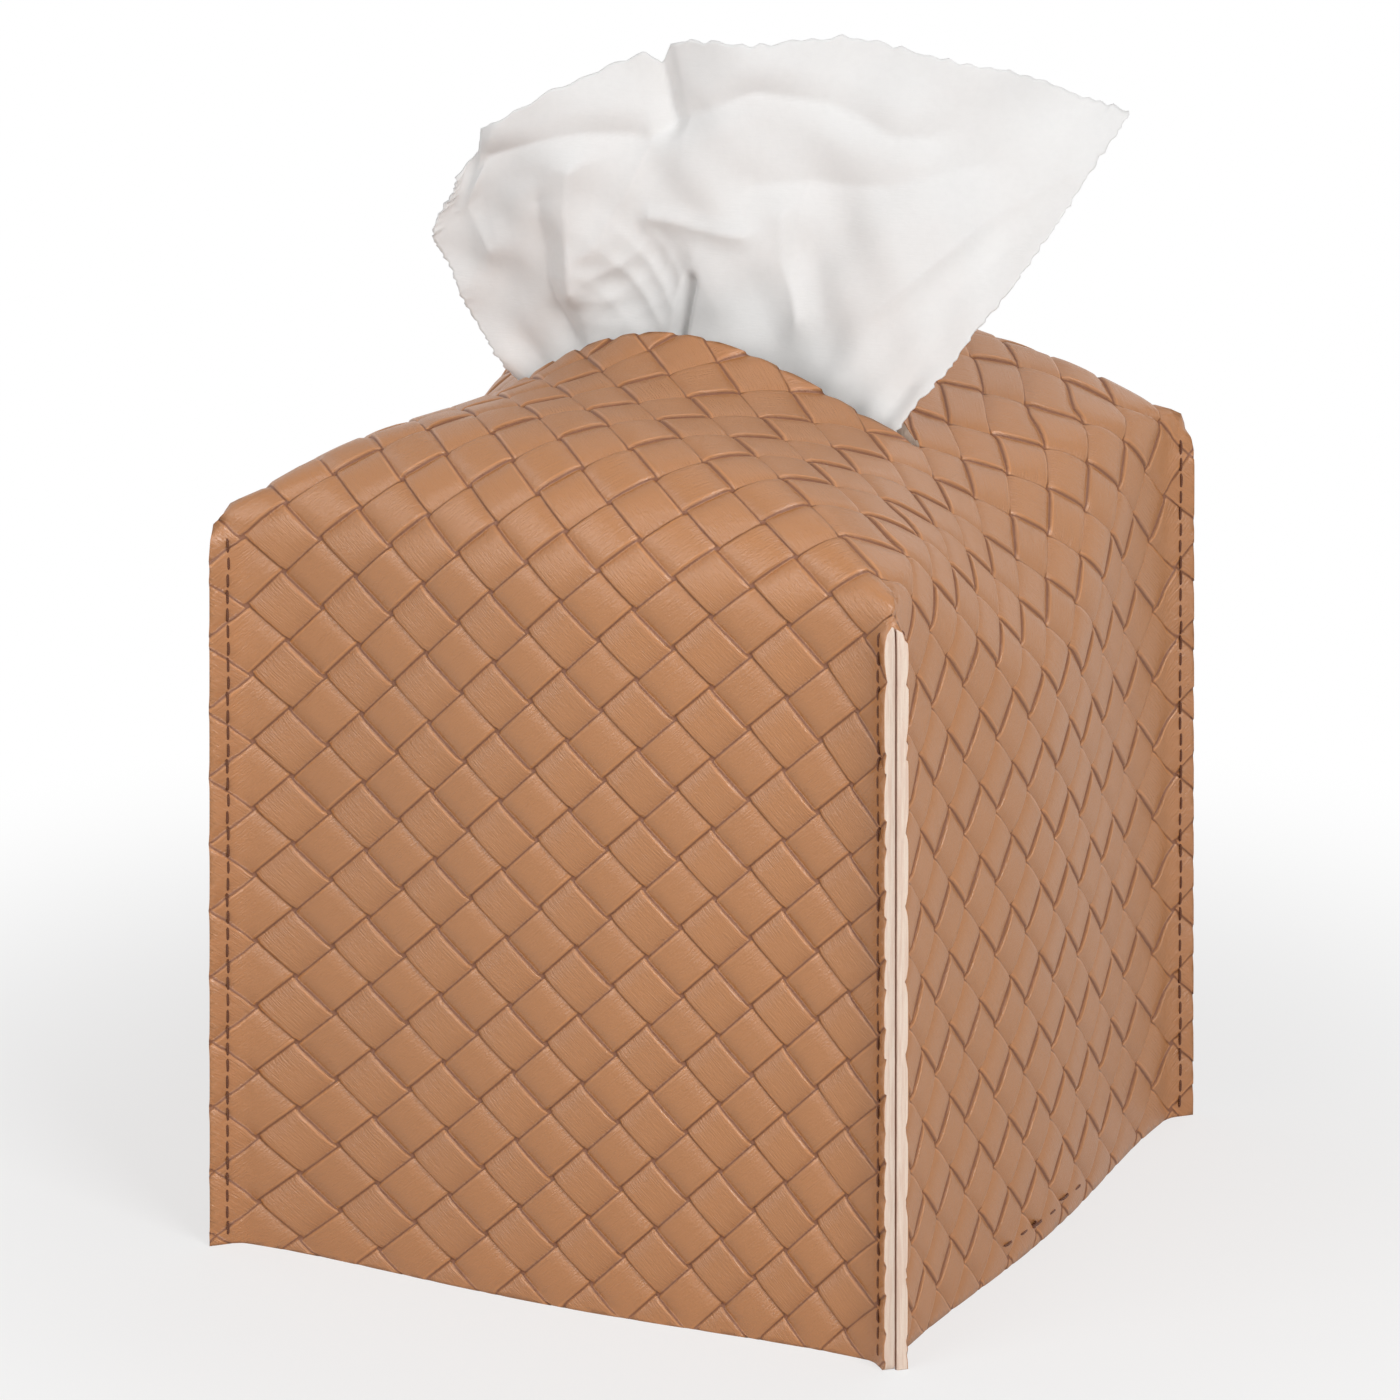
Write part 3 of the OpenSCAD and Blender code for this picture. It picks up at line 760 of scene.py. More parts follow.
        def rim(vertex):
            """The vertices across the cut edge under one vertex of the face."""
            k = vertex.index
            if k not in rim_of:
                top = face_point[k]
                levels = [top + (inner[k] - top) * part for part in self.bevels] + [inner[k] + groove[k]]
                rim_of[k] = [vertex] + [made.verts.new(level) for level in levels]
            return rim_of[k]

        for e in [e for e in made.edges if len(e.link_faces) == 1]:
            loop = e.link_loops[0]
            first, second = rim(loop.vert), rim(loop.link_loop_next.vert)
            ends = [strips[v.index] for v in e.verts]
            for k in range(len(self.bevels) + 1):
                face = made.faces.new((first[k], first[k + 1], second[k + 1], second[k]))
                face.material_index = self.FACE if k == 0 else self.EDGE
                face.smooth = True
                for corner_loop, end in zip(face.loops, (0, 0, 1, 1)):
                    corner_loop[uv].uv = ends[end]
        self.add_inside(made)
        made.to_mesh(mesh)
        made.free()
        mesh.update()
        return mesh

    def skins(self, depth, low):
        """The four sides' skins at a depth under the outer face, which meet at the corners."""
        grids = [self.shape.side_grid(side, flanged=False, low=low) for side in SIDES]
        outs = [outward(g) for g in grids]
        share_edges(outs)
        return [g - n * depth for g, n in zip(grids, outs)]

    def add_inside(self, made):
        """The backing that faces the lining."""
        for grid in self.skins(self.s.leather_t, 0.0):
            grid = grid[::2, ::2]
            verts = [made.verts.new(p) for p in grid.reshape(-1, 3).tolist()]
            for f in grid_faces(*grid.shape[:2]).tolist():
                face = made.faces.new([verts[k] for k in reversed(f)])
                face.material_index = self.BACKING
                face.smooth = True


# Lining, stitches, belts and tissue

SAME_SPOT = 1e-5                    # Distance up to which two points of the lining are one
STITCH_POINTS = 11
STITCH_PROUD, STITCH_TAPER = 0.3, 0.18
SEAM_END = 0.0024                   # Free height above a seam's last stitch
SEAM_WANDER, ROW_WANDER = 0.00012, 0.00025
ROW_PROUD, ROW_SLANT, ROW_LONGER = 0.00005, 60, 0.25
# The bold back-tack where a belt's row was locked: its place, and its three stitches' steps, slant and length
TACK_Y, TACK_STEP, TACK_LIFT, TACK_PROUD, TACK_SLANT, TACK_LENGTH = 0.0065, 0.0003, 0.0002, 0.0002, 0.5, 0.4
# A belt's round free end, its run from the fold, and how much webbing swells close to its woven edges
BELT_TAIL, BELT_FOLD = 0.006, 0.004
SWELL, SWELL_IN, SWELL_W = 0.10, 0.0015, 0.0012


def lining_mesh(leather):
    """A thin cloth skin inside the leather, closed round its edges."""
    s = leather.s
    near = s.leather_t + s.lining_gap
    parts = []
    for outer, inner in zip(*(leather.skins(depth, s.lining_rise) for depth in (near, near + s.lining_t))):
        rows, columns = outer.shape[:2]
        bottom = np.arange(columns)
        parts.append(shell_of(outer, inner, (bottom, (bottom + (rows - 1) * columns)[::-1])))
    mesh = mesh_of("lining_cloth", *merged(parts))
    made = bmesh.new()
    made.from_mesh(mesh)
    bmesh.ops.remove_doubles(made, verts=made.verts, dist=SAME_SPOT)
    made.to_mesh(mesh)
    made.free()
    mesh.polygons.foreach_set("use_smooth", [True] * len(mesh.polygons))
    return mesh


def swept(path, radius, up, around=10):
    """A round tube along a path of points, with closed ends, as (points, faces)."""
    tangent = unit(np.gradient(path, axis=0))
    side = unit(np.cross(tangent, up))
    other = np.cross(side, tangent)
    turn = np.linspace(0, 2 * np.pi, around, endpoint=False)[None, :, None]
    ring = np.cos(turn) * side[:, None] + np.sin(turn) * other[:, None]
    points = path[:, None] + ring * np.broadcast_to(radius, (len(path),))[:, None, None]
    faces = grid_faces(len(path), around, around=True).tolist()
    faces.append(list(range(around))[::-1])
    faces.append([(len(path) - 1) * around + k for k in range(around)])
    return points.reshape(-1, 3), faces


def stitch(middle, along, out, sizes, long_share=1.0):
    """One stitch of thread that comes out of a hole, lies on the piece and goes back in."""
    t = np.linspace(-1, 1, STITCH_POINTS)
    proud = sizes.thread_d * STITCH_PROUD
    rise = proud - (sizes.dip + proud) * np.abs(t) ** 5
    path = middle + along * (t * sizes.shown / 2 * long_share)[:, None] + out * rise[:, None]
    return swept(path, sizes.thread_d / 2 * (1 - STITCH_TAPER * t ** 4), out)


def row_places(count, pitch):
    """Places of a row's stitches, either side of its middle."""
    return (np.arange(count) - (count - 1) / 2) * pitch


def seam_mesh(name, leather, sizes, corner):
    """The rows of stitches on both faces of one corner's flange."""
    s, shape = leather.s, leather.shape
    signs = np.array([1 if corner in (FRONT, RIGHT) else -1, -1 if corner in (FRONT, LEFT) else 1])
    facing = unit(np.array([-1.0, 1.0]))
    parts = []
    for i in range(1, int((s.seam_h - SEAM_END) / sizes.pitch) + 1):
        z = i * sizes.pitch
        half = shape.half_at(z)
        side = s.leather_t * float(shape.nose_at(z)) / ROOT_2
        tip = half + s.flange_out / ROOT_2
        outer, crease = np.array([tip - side, tip + side]), np.array([shape.crease_at(z), half])
        spot = outer + unit(crease - outer) * (sizes.inset + SEAM_WANDER * uneven(i, corner, 5))
        for turn in (1, -1):
            middle = np.array([*(spot[::turn] * signs), z])
            parts.append(stitch(middle, UP, np.array([*(facing[::turn] * signs), 0.0]), sizes))
    return mesh_of(name, *merged(parts))


def belt_row_mesh(name, leather, sizes, side, node):
    """A row of stitches through a side panel and the belt behind it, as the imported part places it."""
    low, high = corners(node)
    z = (low[2] + high[2]) / 2
    inner_x = (low if side > 0 else high)[0] + side * sizes.thread_d / 2
    count = int(round((high[1] - low[1] - sizes.shown) / sizes.pitch)) + 1
    out, lower = ACROSS * side, z - sizes.row_drop
    parts = []

    def outside(y, proud, lift, along, long_share):
        """Adds one stitch on the panel's outer face."""
        spot = np.array([side * (leather.shape.face_at(y, z) + proud), y, lower + lift])
        parts.append(stitch(spot, along, out, sizes, long_share))

    for i, y in enumerate(row_places(count, sizes.pitch)):
        wander = ROW_WANDER * uneven(i, 3, 7)
        if i % 2 == 0:
            along = DEEP + UP * ROW_SLANT * wander
            outside(y, ROW_PROUD, 2 * wander, along, 1.0 + ROW_LONGER * hashed(i, 8, 2))
        parts.append(stitch(np.array([inner_x, y, z + wander]), DEEP, -out, sizes))
    for k in (-1, 0, 1):
        along = unit(DEEP + UP * TACK_SLANT * k)
        outside(k * TACK_STEP - TACK_Y * side, TACK_PROUD, TACK_LIFT * k, along, TACK_LENGTH)
    return mesh_of(name, *merged(parts))


def patch_stitch_mesh(name, node, sizes, down):
    """The rows of stitches round a patch, on the belt's far side."""
    low, high = corners(node)
    centre = (low + high) / 2
    centre[2] = high[2] if down > 0 else low[2]
    half_x, half_y = (high[:2] - low[:2]) / 2 - sizes.thread_d / 2
    parts = []
    for side in (-1, 1):
        for run, half, off in ((DEEP, half_y, ACROSS * half_x), (ACROSS, half_x, DEEP * half_y)):
            for place in row_places(int(round(2 * half / sizes.pitch)), sizes.pitch):
                parts.append(stitch(centre + run * place + off * side, run, -UP * down, sizes))
    return mesh_of(name, *merged(parts))


def strap_section(width, thickness, steps=24, round_steps=7):
    """A flat strap's outline across its width: (across, up) points with rounded edges."""
    r = thickness / 2
    flat = width / 2 - r
    turn = np.linspace(-math.pi / 2, math.pi / 2, round_steps)
    right = np.stack([flat + r * np.cos(turn), r * np.sin(turn)], -1)
    top = np.stack([np.linspace(flat, -flat, steps)[1:-1], np.full(steps - 2, r)], -1)
    return np.concatenate([right, top, -right, -top])


def strap_mesh(name, path, width, thickness, tail):
    """A strap along a path in the XZ plane. Its free end has round corners over the length of tail."""
    tangent = unit(np.gradient(path, axis=0))
    up = np.stack([-tangent[:, 2], np.zeros(len(path)), tangent[:, 0]], -1)
    run = np.concatenate([[0], np.cumsum(np.linalg.norm(np.diff(path, axis=0), axis=1))])
    rows, uvs = [], []
    for p, u, r in zip(path, up, run):
        left, narrow = run[-1] - r, width
        if left < tail:
            narrow = width - 2 * tail * (1 - math.sqrt(max(0, 1 - (1 - left / tail) ** 2)))
        section = strap_section(narrow, thickness)
        off = (narrow / 2 - np.abs(section[:, 0]) - SWELL_IN) / SWELL_W
        high = section[:, 1] * (1 + SWELL * np.exp(-off ** 2))
        rows.append(p + DEEP * section[:, :1] + u * high[:, None])
        uvs.append(np.stack([np.full(len(section), r), section[:, 0]], -1))
    count = len(rows[0])
    faces = grid_faces(len(rows), count, around=True).tolist()
    faces.append(list(range(count)))
    faces.append([(len(rows) - 1) * count + k for k in range(count)][::-1])
    return mesh_of(name, np.array(rows), faces, np.array(uvs))


def belt_path(node, side, fold_steps=5, steps=60):
    """A belt's middle line from its fold at the panel to its free end, its thickness and its width."""
    low, high = corners(node)
    r = (high[2] - low[2]) / 2
    start, end = (high[0] - r, low[0]) if side > 0 else (low[0] + r, high[0])
    bend = start - side * BELT_FOLD
    x = np.concatenate([np.linspace(start, bend, fold_steps)[:-1], np.linspace(bend, end, steps)])
    return x[:, None] * ACROSS + UP * (low[2] + r), r * 2, high[1] - low[1]


def tab_path(node, steps=24):
    """A belt tab's middle line upwards, its thickness and its width."""
    low, high = corners(node)
    z = np.linspace(low[2], high[2], steps)
    return z[:, None] * UP + ACROSS * ((low[0] + high[0]) / 2), high[0] - low[0], high[1] - low[1]


class Tape:
    """Hook or loop tape: a thin woven backing with small hooks or loops on the side that faces its mate."""

    back_t, bevel, bevel_share = 0.00035, 0.00008, 0.9965
    corner, corner_steps = 0.0022, 6
    columns, rows, margin = 24, 28, 0.003
    clearance = 0.00006
    strand_points, strand_sides = 7, 4
    hook_r, hook_lean, hook_turn, hook_rise = 0.00009, 0.00022, 1.25, 1.35
    hook_from, hook_fall = 0.74, 0.3    # Where along it a hook bends down, and by what share of its height
    loop_r, loop_w, loop_turn = 0.00007, 0.00042, 2.5
    loop_least, loop_more, loop_power = 0.8, 0.2, 0.7

    def __init__(self, node, up):
        self.low, self.high = corners(node)
        self.up = up
        self.base = (self.low if up > 0 else self.high)[2]
        self.surface = self.base + up * self.back_t
        self.reach = self.high[2] - self.low[2] - self.back_t - self.clearance

    def backing(self):
        """The backing, a plate with round corners and bevelled faces."""
        middle, half = (self.low + self.high)[:2] / 2, (self.high - self.low)[:2] / 2 - self.corner
        ring = []
        for k, signs in enumerate(((1, 1), (-1, 1), (-1, -1), (1, -1))):
            for step in range(self.corner_steps):
                turn = math.pi / 2 * (k + step / (self.corner_steps - 1))
                ring.append(half * signs + self.corner * np.array([math.cos(turn), math.sin(turn)]))
        ring, n, facing = np.array(ring), len(ring), int(self.up)
        levels = ((0.0, self.bevel_share), (self.bevel, 1.0), (self.back_t - self.bevel, 1.0),
                  (self.back_t, self.bevel_share))
        points = np.concatenate([np.c_[middle + ring * k, np.full(n, self.base + self.up * level)]
                                 for level, k in levels])
        faces = [f[::facing] for f in grid_faces(len(levels), n, around=True).tolist()]
        faces += [list(range(n))[::-facing], [(len(levels) - 1) * n + k for k in range(n)][::facing]]
        return points, faces

    def hook(self, x, y, i, t):
        """One hook, which leans to one side or the other."""
        lean = self.hook_lean * (1 if i % 2 else -1)
        rise = np.sin(np.minimum(t * self.hook_rise, 1) * math.pi / 2)
        fall = self.hook_fall * np.maximum(0, t - self.hook_from) / (1 - self.hook_from)
        path = np.stack([x + lean * np.sin(t * math.pi * self.hook_turn), np.full(len(t), y),
                         self.surface + self.up * self.reach * (rise - fall)], -1)
        return swept(path, self.hook_r, DEEP, self.strand_sides)

    def loop(self, x, y, i, j, t):
        """One loop, turned and as high as chance has it."""
        turn = (hashed(i, j, 11) - 0.5) * self.loop_turn
        high = self.reach * (self.loop_least + self.loop_more * (hashed(i, j, 12) - 0.5))
        w = self.loop_w * (t - 0.5)
        path = np.stack([x + w * math.cos(turn), y + w * math.sin(turn),
                         self.surface + self.up * high * np.sin(t * math.pi) ** self.loop_power], -1)
        beside = np.array([math.sin(turn), -math.cos(turn), 0.01])
        return swept(path, self.loop_r, beside, self.strand_sides)

    def build(self, name, hooked):
        """The tape's mesh."""
        parts = [self.backing()]
        t = np.linspace(0, 1, self.strand_points)
        middle, room = (self.low + self.high) / 2, self.high - self.low - self.margin
        for i in range(self.columns):
            for j in range(self.rows):
                x = middle[0] + ((i + 0.5) / self.columns - 0.5) * room[0]
                y = middle[1] + ((j + 0.5) / self.rows - 0.5) * room[1]
                parts.append(self.hook(x, y, i, t) if hooked else self.loop(x, y, i, j, t))
        return mesh_of(name, *merged(parts))


class TissueShape:
    """The tissue: one sheet gathered in the slot that fans out above it."""

    # Shares of the crown's half width, depth and height, from the left end of the tissue to the right
    crown_x = (-0.826, -0.713, -0.488, -0.263, -0.075, 0.131, 0.375, 0.6, 0.826, 1.013, 1.174)
    crown_y = (-0.18, -0.18, -0.14, -0.07, 0, 0.09, 0.2, 0.34, 0.5, 0.66, 0.82)
    crown_z = (0.6, 0.77, 0.88, 0.967, 1.027, 1.027, 1.039, 1.005, 0.956, 0.872, 0.826)
    folds, fold_lean = 3.5, math.radians(50)
    notch_at, notch_w, notch_h = 0.343, 0.02, 0.0032
    # Width and height of each soft fold, and its line over the sheet in shares of its breadth and rise
    fold_lines = (
        (0.0050, -0.0013, ((0.10, 0.88), (0.24, 0.83), (0.33, 0.76), (0.44, 0.82), (0.51, 0.87), (0.62, 0.82),
                           (0.71, 0.78), (0.76, 0.80))),
        (0.0050, 0.0016, ((0.22, 0.74), (0.21, 0.55), (0.205, 0.36))),
        (0.0045, -0.0010, ((0.175, 0.66), (0.16, 0.40), (0.17, 0.20))),
        (0.0070, 0.0013, ((0.335, 0.75), (0.24, 0.47))),
        (0.0026, -0.0030, ((0.43, 0.36), (0.41, 0.22), (0.40, 0.0))),
        (0.0035, 0.0012, ((0.34, 0.545), (0.43, 0.51), (0.52, 0.495))),
        (0.0060, 0.0015, ((0.57, 0.54), (0.59, 0.42), (0.65, 0.28))),
        (0.0075, -0.0015, ((0.53, 0.62), (0.64, 0.63), (0.73, 0.655), (0.84, 0.75))),
        (0.0035, -0.0020, ((0.343, 1.02), (0.36, 0.86), (0.37, 0.78))),
        (0.0060, 0.0010, ((0.08, 0.55), (0.06, 0.75), (0.12, 0.98))),
        (0.0080, 0.0012, ((0.80, 0.35), (0.88, 0.62), (0.97, 0.80))))
    fold_power = 1.7
    # Repeats across and up, and height, of the soft billows and of the small crumples low on the left
    billows = ((2.3, 1.1, 0.0008), (4.1, -2.7, 0.00045), (7.3, 3.9, 0.0002))
    crumples = ((5.0, 3.5, 0.00028), (-4.0, 6.0, 0.0002), (9.0, -5.0, 0.00018))
    crumple_at, crumple_w, crumple_flat = (0.3, 0.36), (0.11, 0.14), 0.6
    pleats, pleat_h, pleat_up = 8.5, 0.0006, 0.4
    # How strongly and how fast those waves wander
    billow_twist, crumple_twist, pleat_twist = (1.3, 3, 5), (3.0, 11, 6, 2), (3, 6)
    sweep_power = 1.15
    neck_wave, fold_fade = 0.02, 0.35
    # How far the sides belly out between the slot and the crown, and how far the left tip draws out
    left_bulge, right_bulge = 0.15, 0.03
    left_tip, tip_at, tip_w, tip_side = 0.0035, 0.72, 0.13, 0.25
    relief_least, relief_grow = 0.35, 4
    ragged, ragged_steps = 0.0005, 90
    top_edge, notch_edge, side_edge = 0.93, 0.8, 0.95

    def __init__(self, sizes, shape):
        self.t = sizes
        self.end_z = float(shape.top_z(np.array(shape.s.slot_l / 2), np.array(0.0)))
        self.slot_w = shape.s.slot_w

    def middle_sheet(self, columns=241, rows=121):
        """Points of the sheet's middle as (rows, columns, 3), and their shares of the width and the rise."""
        t = self.t
        s = np.linspace(0, 1, columns)[None, :]
        r = np.linspace(-t.tail_h / (t.rise + t.tail_h), 1, rows)[:, None]
        e = np.maximum(r, 0)
        knots = np.linspace(0, 1, len(self.crown_x))
        crowns = (self.crown_x, self.crown_y, self.crown_z)
        crown_x, crown_y, crown_z = (np.interp(s, knots, crown) for crown in crowns)
        side, waves = 2 * s - 1, 2 * np.pi * self.folds * s
        neck_y = self.slot_w * self.neck_wave * np.sin(waves) * 4 * s * (1 - s)
        belly = np.where(side < 0, self.left_bulge, self.right_bulge) * np.sin(np.pi * e)
        tip = np.exp(-((e - self.tip_at) / self.tip_w) ** 2) * clip01(1 - s / self.tip_side) ** 2
        x = (t.neck_w / 2 * side * (1 - e) + t.spread / 2 * (crown_x * e + belly * side * np.abs(side))
             - self.left_tip * tip)
        fold = t.fold_h * e * (1 - self.fold_fade * e) * np.sin(waves + self.fold_lean * e)
        y = neck_y * (1 - e) + t.sweep * crown_y * e ** self.sweep_power + fold
        z = self.end_z + t.rise * crown_z * e + np.minimum(r, 0) * (t.rise + t.tail_h)
        return np.stack(np.broadcast_arrays(x, y, z), -1), s, e

    def torn(self, at, *seed):
        """A ragged edge's small steps along a line of shares."""
        steps = uneven(np.arange(self.ragged_steps), *seed)
        return self.ragged * np.interp(at, np.linspace(0, 1, self.ragged_steps), steps)

    def build(self):
        """The tissue's mesh, a thin closed shell."""
        grid, s, e = self.middle_sheet()
        rows, columns = grid.shape[:2]
        out = outward(grid)
        height = self.folded(s, e) * np.minimum(1, self.relief_least + e * self.relief_grow)
        grid = grid + out * height[..., None]
        notch = self.notch_h * clip01(1 - np.abs(s - self.notch_at) / self.notch_w)
        grid[..., 2] += (self.torn(s[0], 4, 8) * smooth((e - self.top_edge) / (1 - self.top_edge))
                         - notch * smooth((e - self.notch_edge) / (1 - self.notch_edge)))
        at_side = smooth((np.abs(2 * s - 1) - self.side_edge) / (1 - self.side_edge))
        grid[..., 0] += self.torn(e[:, 0], 6, 3)[:, None] * at_side
        low, right = np.arange(columns), np.arange(rows) * columns + columns - 1
        high, left = (low + (rows - 1) * columns)[::-1], (right - columns + 1)[::-1]
        half = out * self.t.ply_t / 2
        return mesh_of("pulled_tissue", *shell_of(grid + half, grid - half, (low, right, high, left)))

    def folded(self, s, e):
        """Height of the soft folds: each is a line over the sheet with a width and a height."""
        across, up = s * self.t.spread, e * self.t.rise
        height = 0.0
        for width, high, line in self.fold_lines:
            near = np.full(np.broadcast(s, e).shape, 1.0)
            for (s0, e0), (s1, e1) in zip(line, line[1:]):
                x0, y0 = s0 * self.t.spread, e0 * self.t.rise
                dx, dy = s1 * self.t.spread - x0, e1 * self.t.rise - y0
                t = clip01(((across - x0) * dx + (up - y0) * dy) / (dx * dx + dy * dy))
                near = np.minimum(near, np.hypot(across - x0 - t * dx, up - y0 - t * dy))
            height = height + high * clip01(1 - near / width) ** self.fold_power
        amount, ws, we = self.billow_twist
        for k, (fs, fe, high) in enumerate(self.billows):
            wave = 2 * np.pi * (fs * s + fe * e + hashed(k, 2, 9)) + amount * np.sin(we * e + ws * s + k)
            height = height + high * np.sin(wave)
        (at_s, at_e), (wide_s, wide_e) = self.crumple_at, self.crumple_w
        low_left = np.exp(-((s - at_s) / wide_s) ** 2 - ((e - at_e) / wide_e) ** 2)
        amount, ws, we, wk = self.crumple_twist
        for k, (fs, fe, high) in enumerate(self.crumples):
            twist = amount * np.sin(ws * s + we * e + wk * k)
            wave = np.sin(2 * np.pi * (fs * s + fe * e * self.crumple_flat) + twist + k)
            height = height + high * low_left * (1 - 2 * np.abs(wave))
        amount, ws = self.pleat_twist
        pleats = np.sin(2 * np.pi * self.pleats * s + amount * np.sin(ws * s))
        return height + self.pleat_h * (1 - smooth(e / self.pleat_up)) * pleats

    def cut_size(self):
        """Width, length and area of the sheet as it lies flat, measured along its middle."""
        grid, _, _ = self.middle_sheet()
        across, up = np.diff(grid, axis=1), np.diff(grid, axis=0)
        area = np.linalg.norm(np.cross(across[:-1], up[:, :-1]), axis=-1).sum()
        return (float(np.linalg.norm(across, axis=-1).sum(1).max()),
                float(np.linalg.norm(up, axis=-1).sum(0).max()), float(area))


# Shader maths and materials

# The finishes' detail: how fine it is (scales and waves per metre; pitches in metres), its height in metres
# (the bumps and TISSUE_DEPTH) and plain shares (slants, rise, cloth fuzz and white)
BLOTCH, WOBBLE, GRAIN, PORES, LEATHER_BUMP = 60.0, 420.0, 1500.0, 2300.0, 0.00012
EDGE_FIBRES, EDGE_LAYERS, EDGE_BUMP = 2600.0, 2400.0, 0.00015
KNIT, KNIT_BUMP = 4200.0, 0.0001
CLOTH_PITCH, CLOTH_FUZZ, CLOTH_LOOSE, CLOTH_SLANT, CLOTH_RISE = 0.0006, 0.6, 90.0, 0.35, 0.3
TWIST, TWIST_SLANT, THREAD_FUZZ, THREAD_BUMP = 9000.0, 1.7, 4000.0, 0.0001
RIB_PITCH, PICK_PITCH, WEBBING_LOOSE, WEBBING_BUMP = 0.0008, 0.0006, 240.0, 0.00014
TAPE_WEAVE, TAPE_SPECK, TAPE_BUMP = 5200.0, 900.0, 0.00008
TISSUE_FIBRES, TISSUE_CREPE, TISSUE_CLOUD, TISSUE_BUMP, TISSUE_DEPTH = 700.0, 1500.0, 70.0, 0.00008, 0.002
FLOOR_GRAIN, SHADOW_WHITE = 40.0, 0.65
WHITE = (1.0, 1.0, 1.0, 1.0)
GAP_SHADE_FROM, GAP_SHADE_TO = 0.0001, 0.0004     # Where the painted shade in the groove between a flange's two leathers fades


class Value:
    """A shader socket that takes part in Python expressions and adds the Math nodes for them."""

    def __init__(self, nodes, socket):
        self.nodes, self.socket = nodes, socket

    def math(self, operation, *values):
        """One Math node on values or sockets."""
        return self.nodes.node("Math", {"operation": operation}, dict(enumerate(values)))

    def __add__(self, other):
        return self.math("ADD", self, other)

    def __radd__(self, other):
        return self.math("ADD", other, self)

    def __sub__(self, other):
        return self.math("SUBTRACT", self, other)

    def __rsub__(self, other):
        return self.math("SUBTRACT", other, self)

    def __mul__(self, other):
        return self.math("MULTIPLY", self, other)

    def __rmul__(self, other):
        return self.math("MULTIPLY", other, self)

    def __pow__(self, other):
        return self.math("POWER", self, other)

    def __mod__(self, other):
        return self.math("FLOORED_MODULO", self, other)

    def __abs__(self):
        return self.math("ABSOLUTE", self)

    def floor(self):
        """The whole number below."""
        return self.math("FLOOR", self)

    def sin(self):
        """The sine."""
        return self.math("SINE", self)

    def most(self, other):
        """The greater of two values."""
        return self.math("MAXIMUM", self, other)

    def over(self, limit):
        """1 where the value is over the limit, else 0."""
        return self.math("GREATER_THAN", self, limit)

    def soft(self, start, end):
        """A soft step from 0 at start to 1 at end."""
        return self.nodes.node("MapRange", {"interpolation_type": "SMOOTHSTEP"},
                               {"Value": self, "From Min": start, "From Max": end})

    def outputs(self, *keys):
        """Outputs of the node that this value comes from."""
        return [Value(self.nodes, self.socket.node.outputs[key]) for key in keys]


class Nodes:
    """Builds the node tree of a material or of the world."""

    def __init__(self, owner):
        owner.use_nodes = True
        self.owner, self.tree = owner, owner.node_tree
        self.tree.nodes.clear()

    def node(self, kind, options=None, sockets=None, output=0):
        """Adds a node, sets its options and then its sockets' values or links, and returns one output."""
        made = self.tree.nodes.new("ShaderNode" + kind)
        for key, value in (options or {}).items():
            setattr(made, key, value)
        for key, value in (sockets or {}).items():
            if isinstance(value, Value):
                self.tree.links.new(value.socket, made.inputs[key])
            elif value is not None:
                made.inputs[key].default_value = value
        return Value(self, made.outputs[output]) if made.outputs else None

    def mix(self, factor, first, second):
        """Two colours mixed."""
        first, second = (v if isinstance(v, Value) else (*v, 1.0) for v in (first, second))
        return self.node("Mix", {"data_type": "RGBA"}, {0: factor, 6: first, 7: second}, output=2)

    def vector(self, x=0.0, y=0.0, z=0.0):
        """Three values as a vector."""
        return self.node("CombineXYZ", None, {"X": x, "Y": y, "Z": z})

    def parts(self, vector):
        """A vector's three values."""
        return self.node("SeparateXYZ", None, {0: vector}).outputs(0, 1, 2)

    def noise(self, vector, scale, detail=2.0, roughness=0.5, distortion=0.0):
        """Soft noise from 0 to 1."""
        return self.node("TexNoise", None, {"Vector": vector, "Scale": scale, "Detail": detail,
                                            "Roughness": roughness, "Distortion": distortion})

    def place(self):
        """The place in the object's own metres."""
        return self.node("TexCoord").outputs("Object")[0]

    def woven_place(self):
        """The place on the weave map, or along and across a strap."""
        return self.node("UVMap", {"uv_map": "weave"})

    def bump(self, height, distance, strength, normal=None, sunk=False):
        """A bumped normal, with its height in metres given by distance."""
        return self.node("Bump", {"invert": sunk}, {
            "Height": height, "Distance": distance, "Strength": strength, "Normal": normal})

    def seen(self):
        """1 for what is seen straight or in gloss or glass, which can then show white and light nothing."""
        straight, gloss, glass = self.node("LightPath").outputs(
            "Is Camera Ray", "Is Glossy Ray", "Is Transmission Ray")
        return straight.most(gloss).most(glass)

    def finish(self, base, roughness, normal, **constants):
        """Closes a material with the main shader, whose other sockets take constants, and returns it."""
        sockets = {"Base Color": base, "Roughness": roughness, "Normal": normal}
        for key, value in constants.items():
            sockets[key.replace("_", " ").title().replace("Ior", "IOR")] = value
        return self.output("OutputMaterial", self.node("BsdfPrincipled", None, sockets))

    def output(self, kind, shader):
        """Closes the tree with a shader and returns what it belongs to."""
        self.node(kind, None, {"Surface": shader})
        return self.owner


def new_nodes(name):
    """The nodes of a new material."""
    return Nodes(bpy.data.materials.new(name))


def tinted(rgb, factor):
    """A colour made lighter or darker."""
    return tuple(min(1.0, c * factor) for c in rgb)


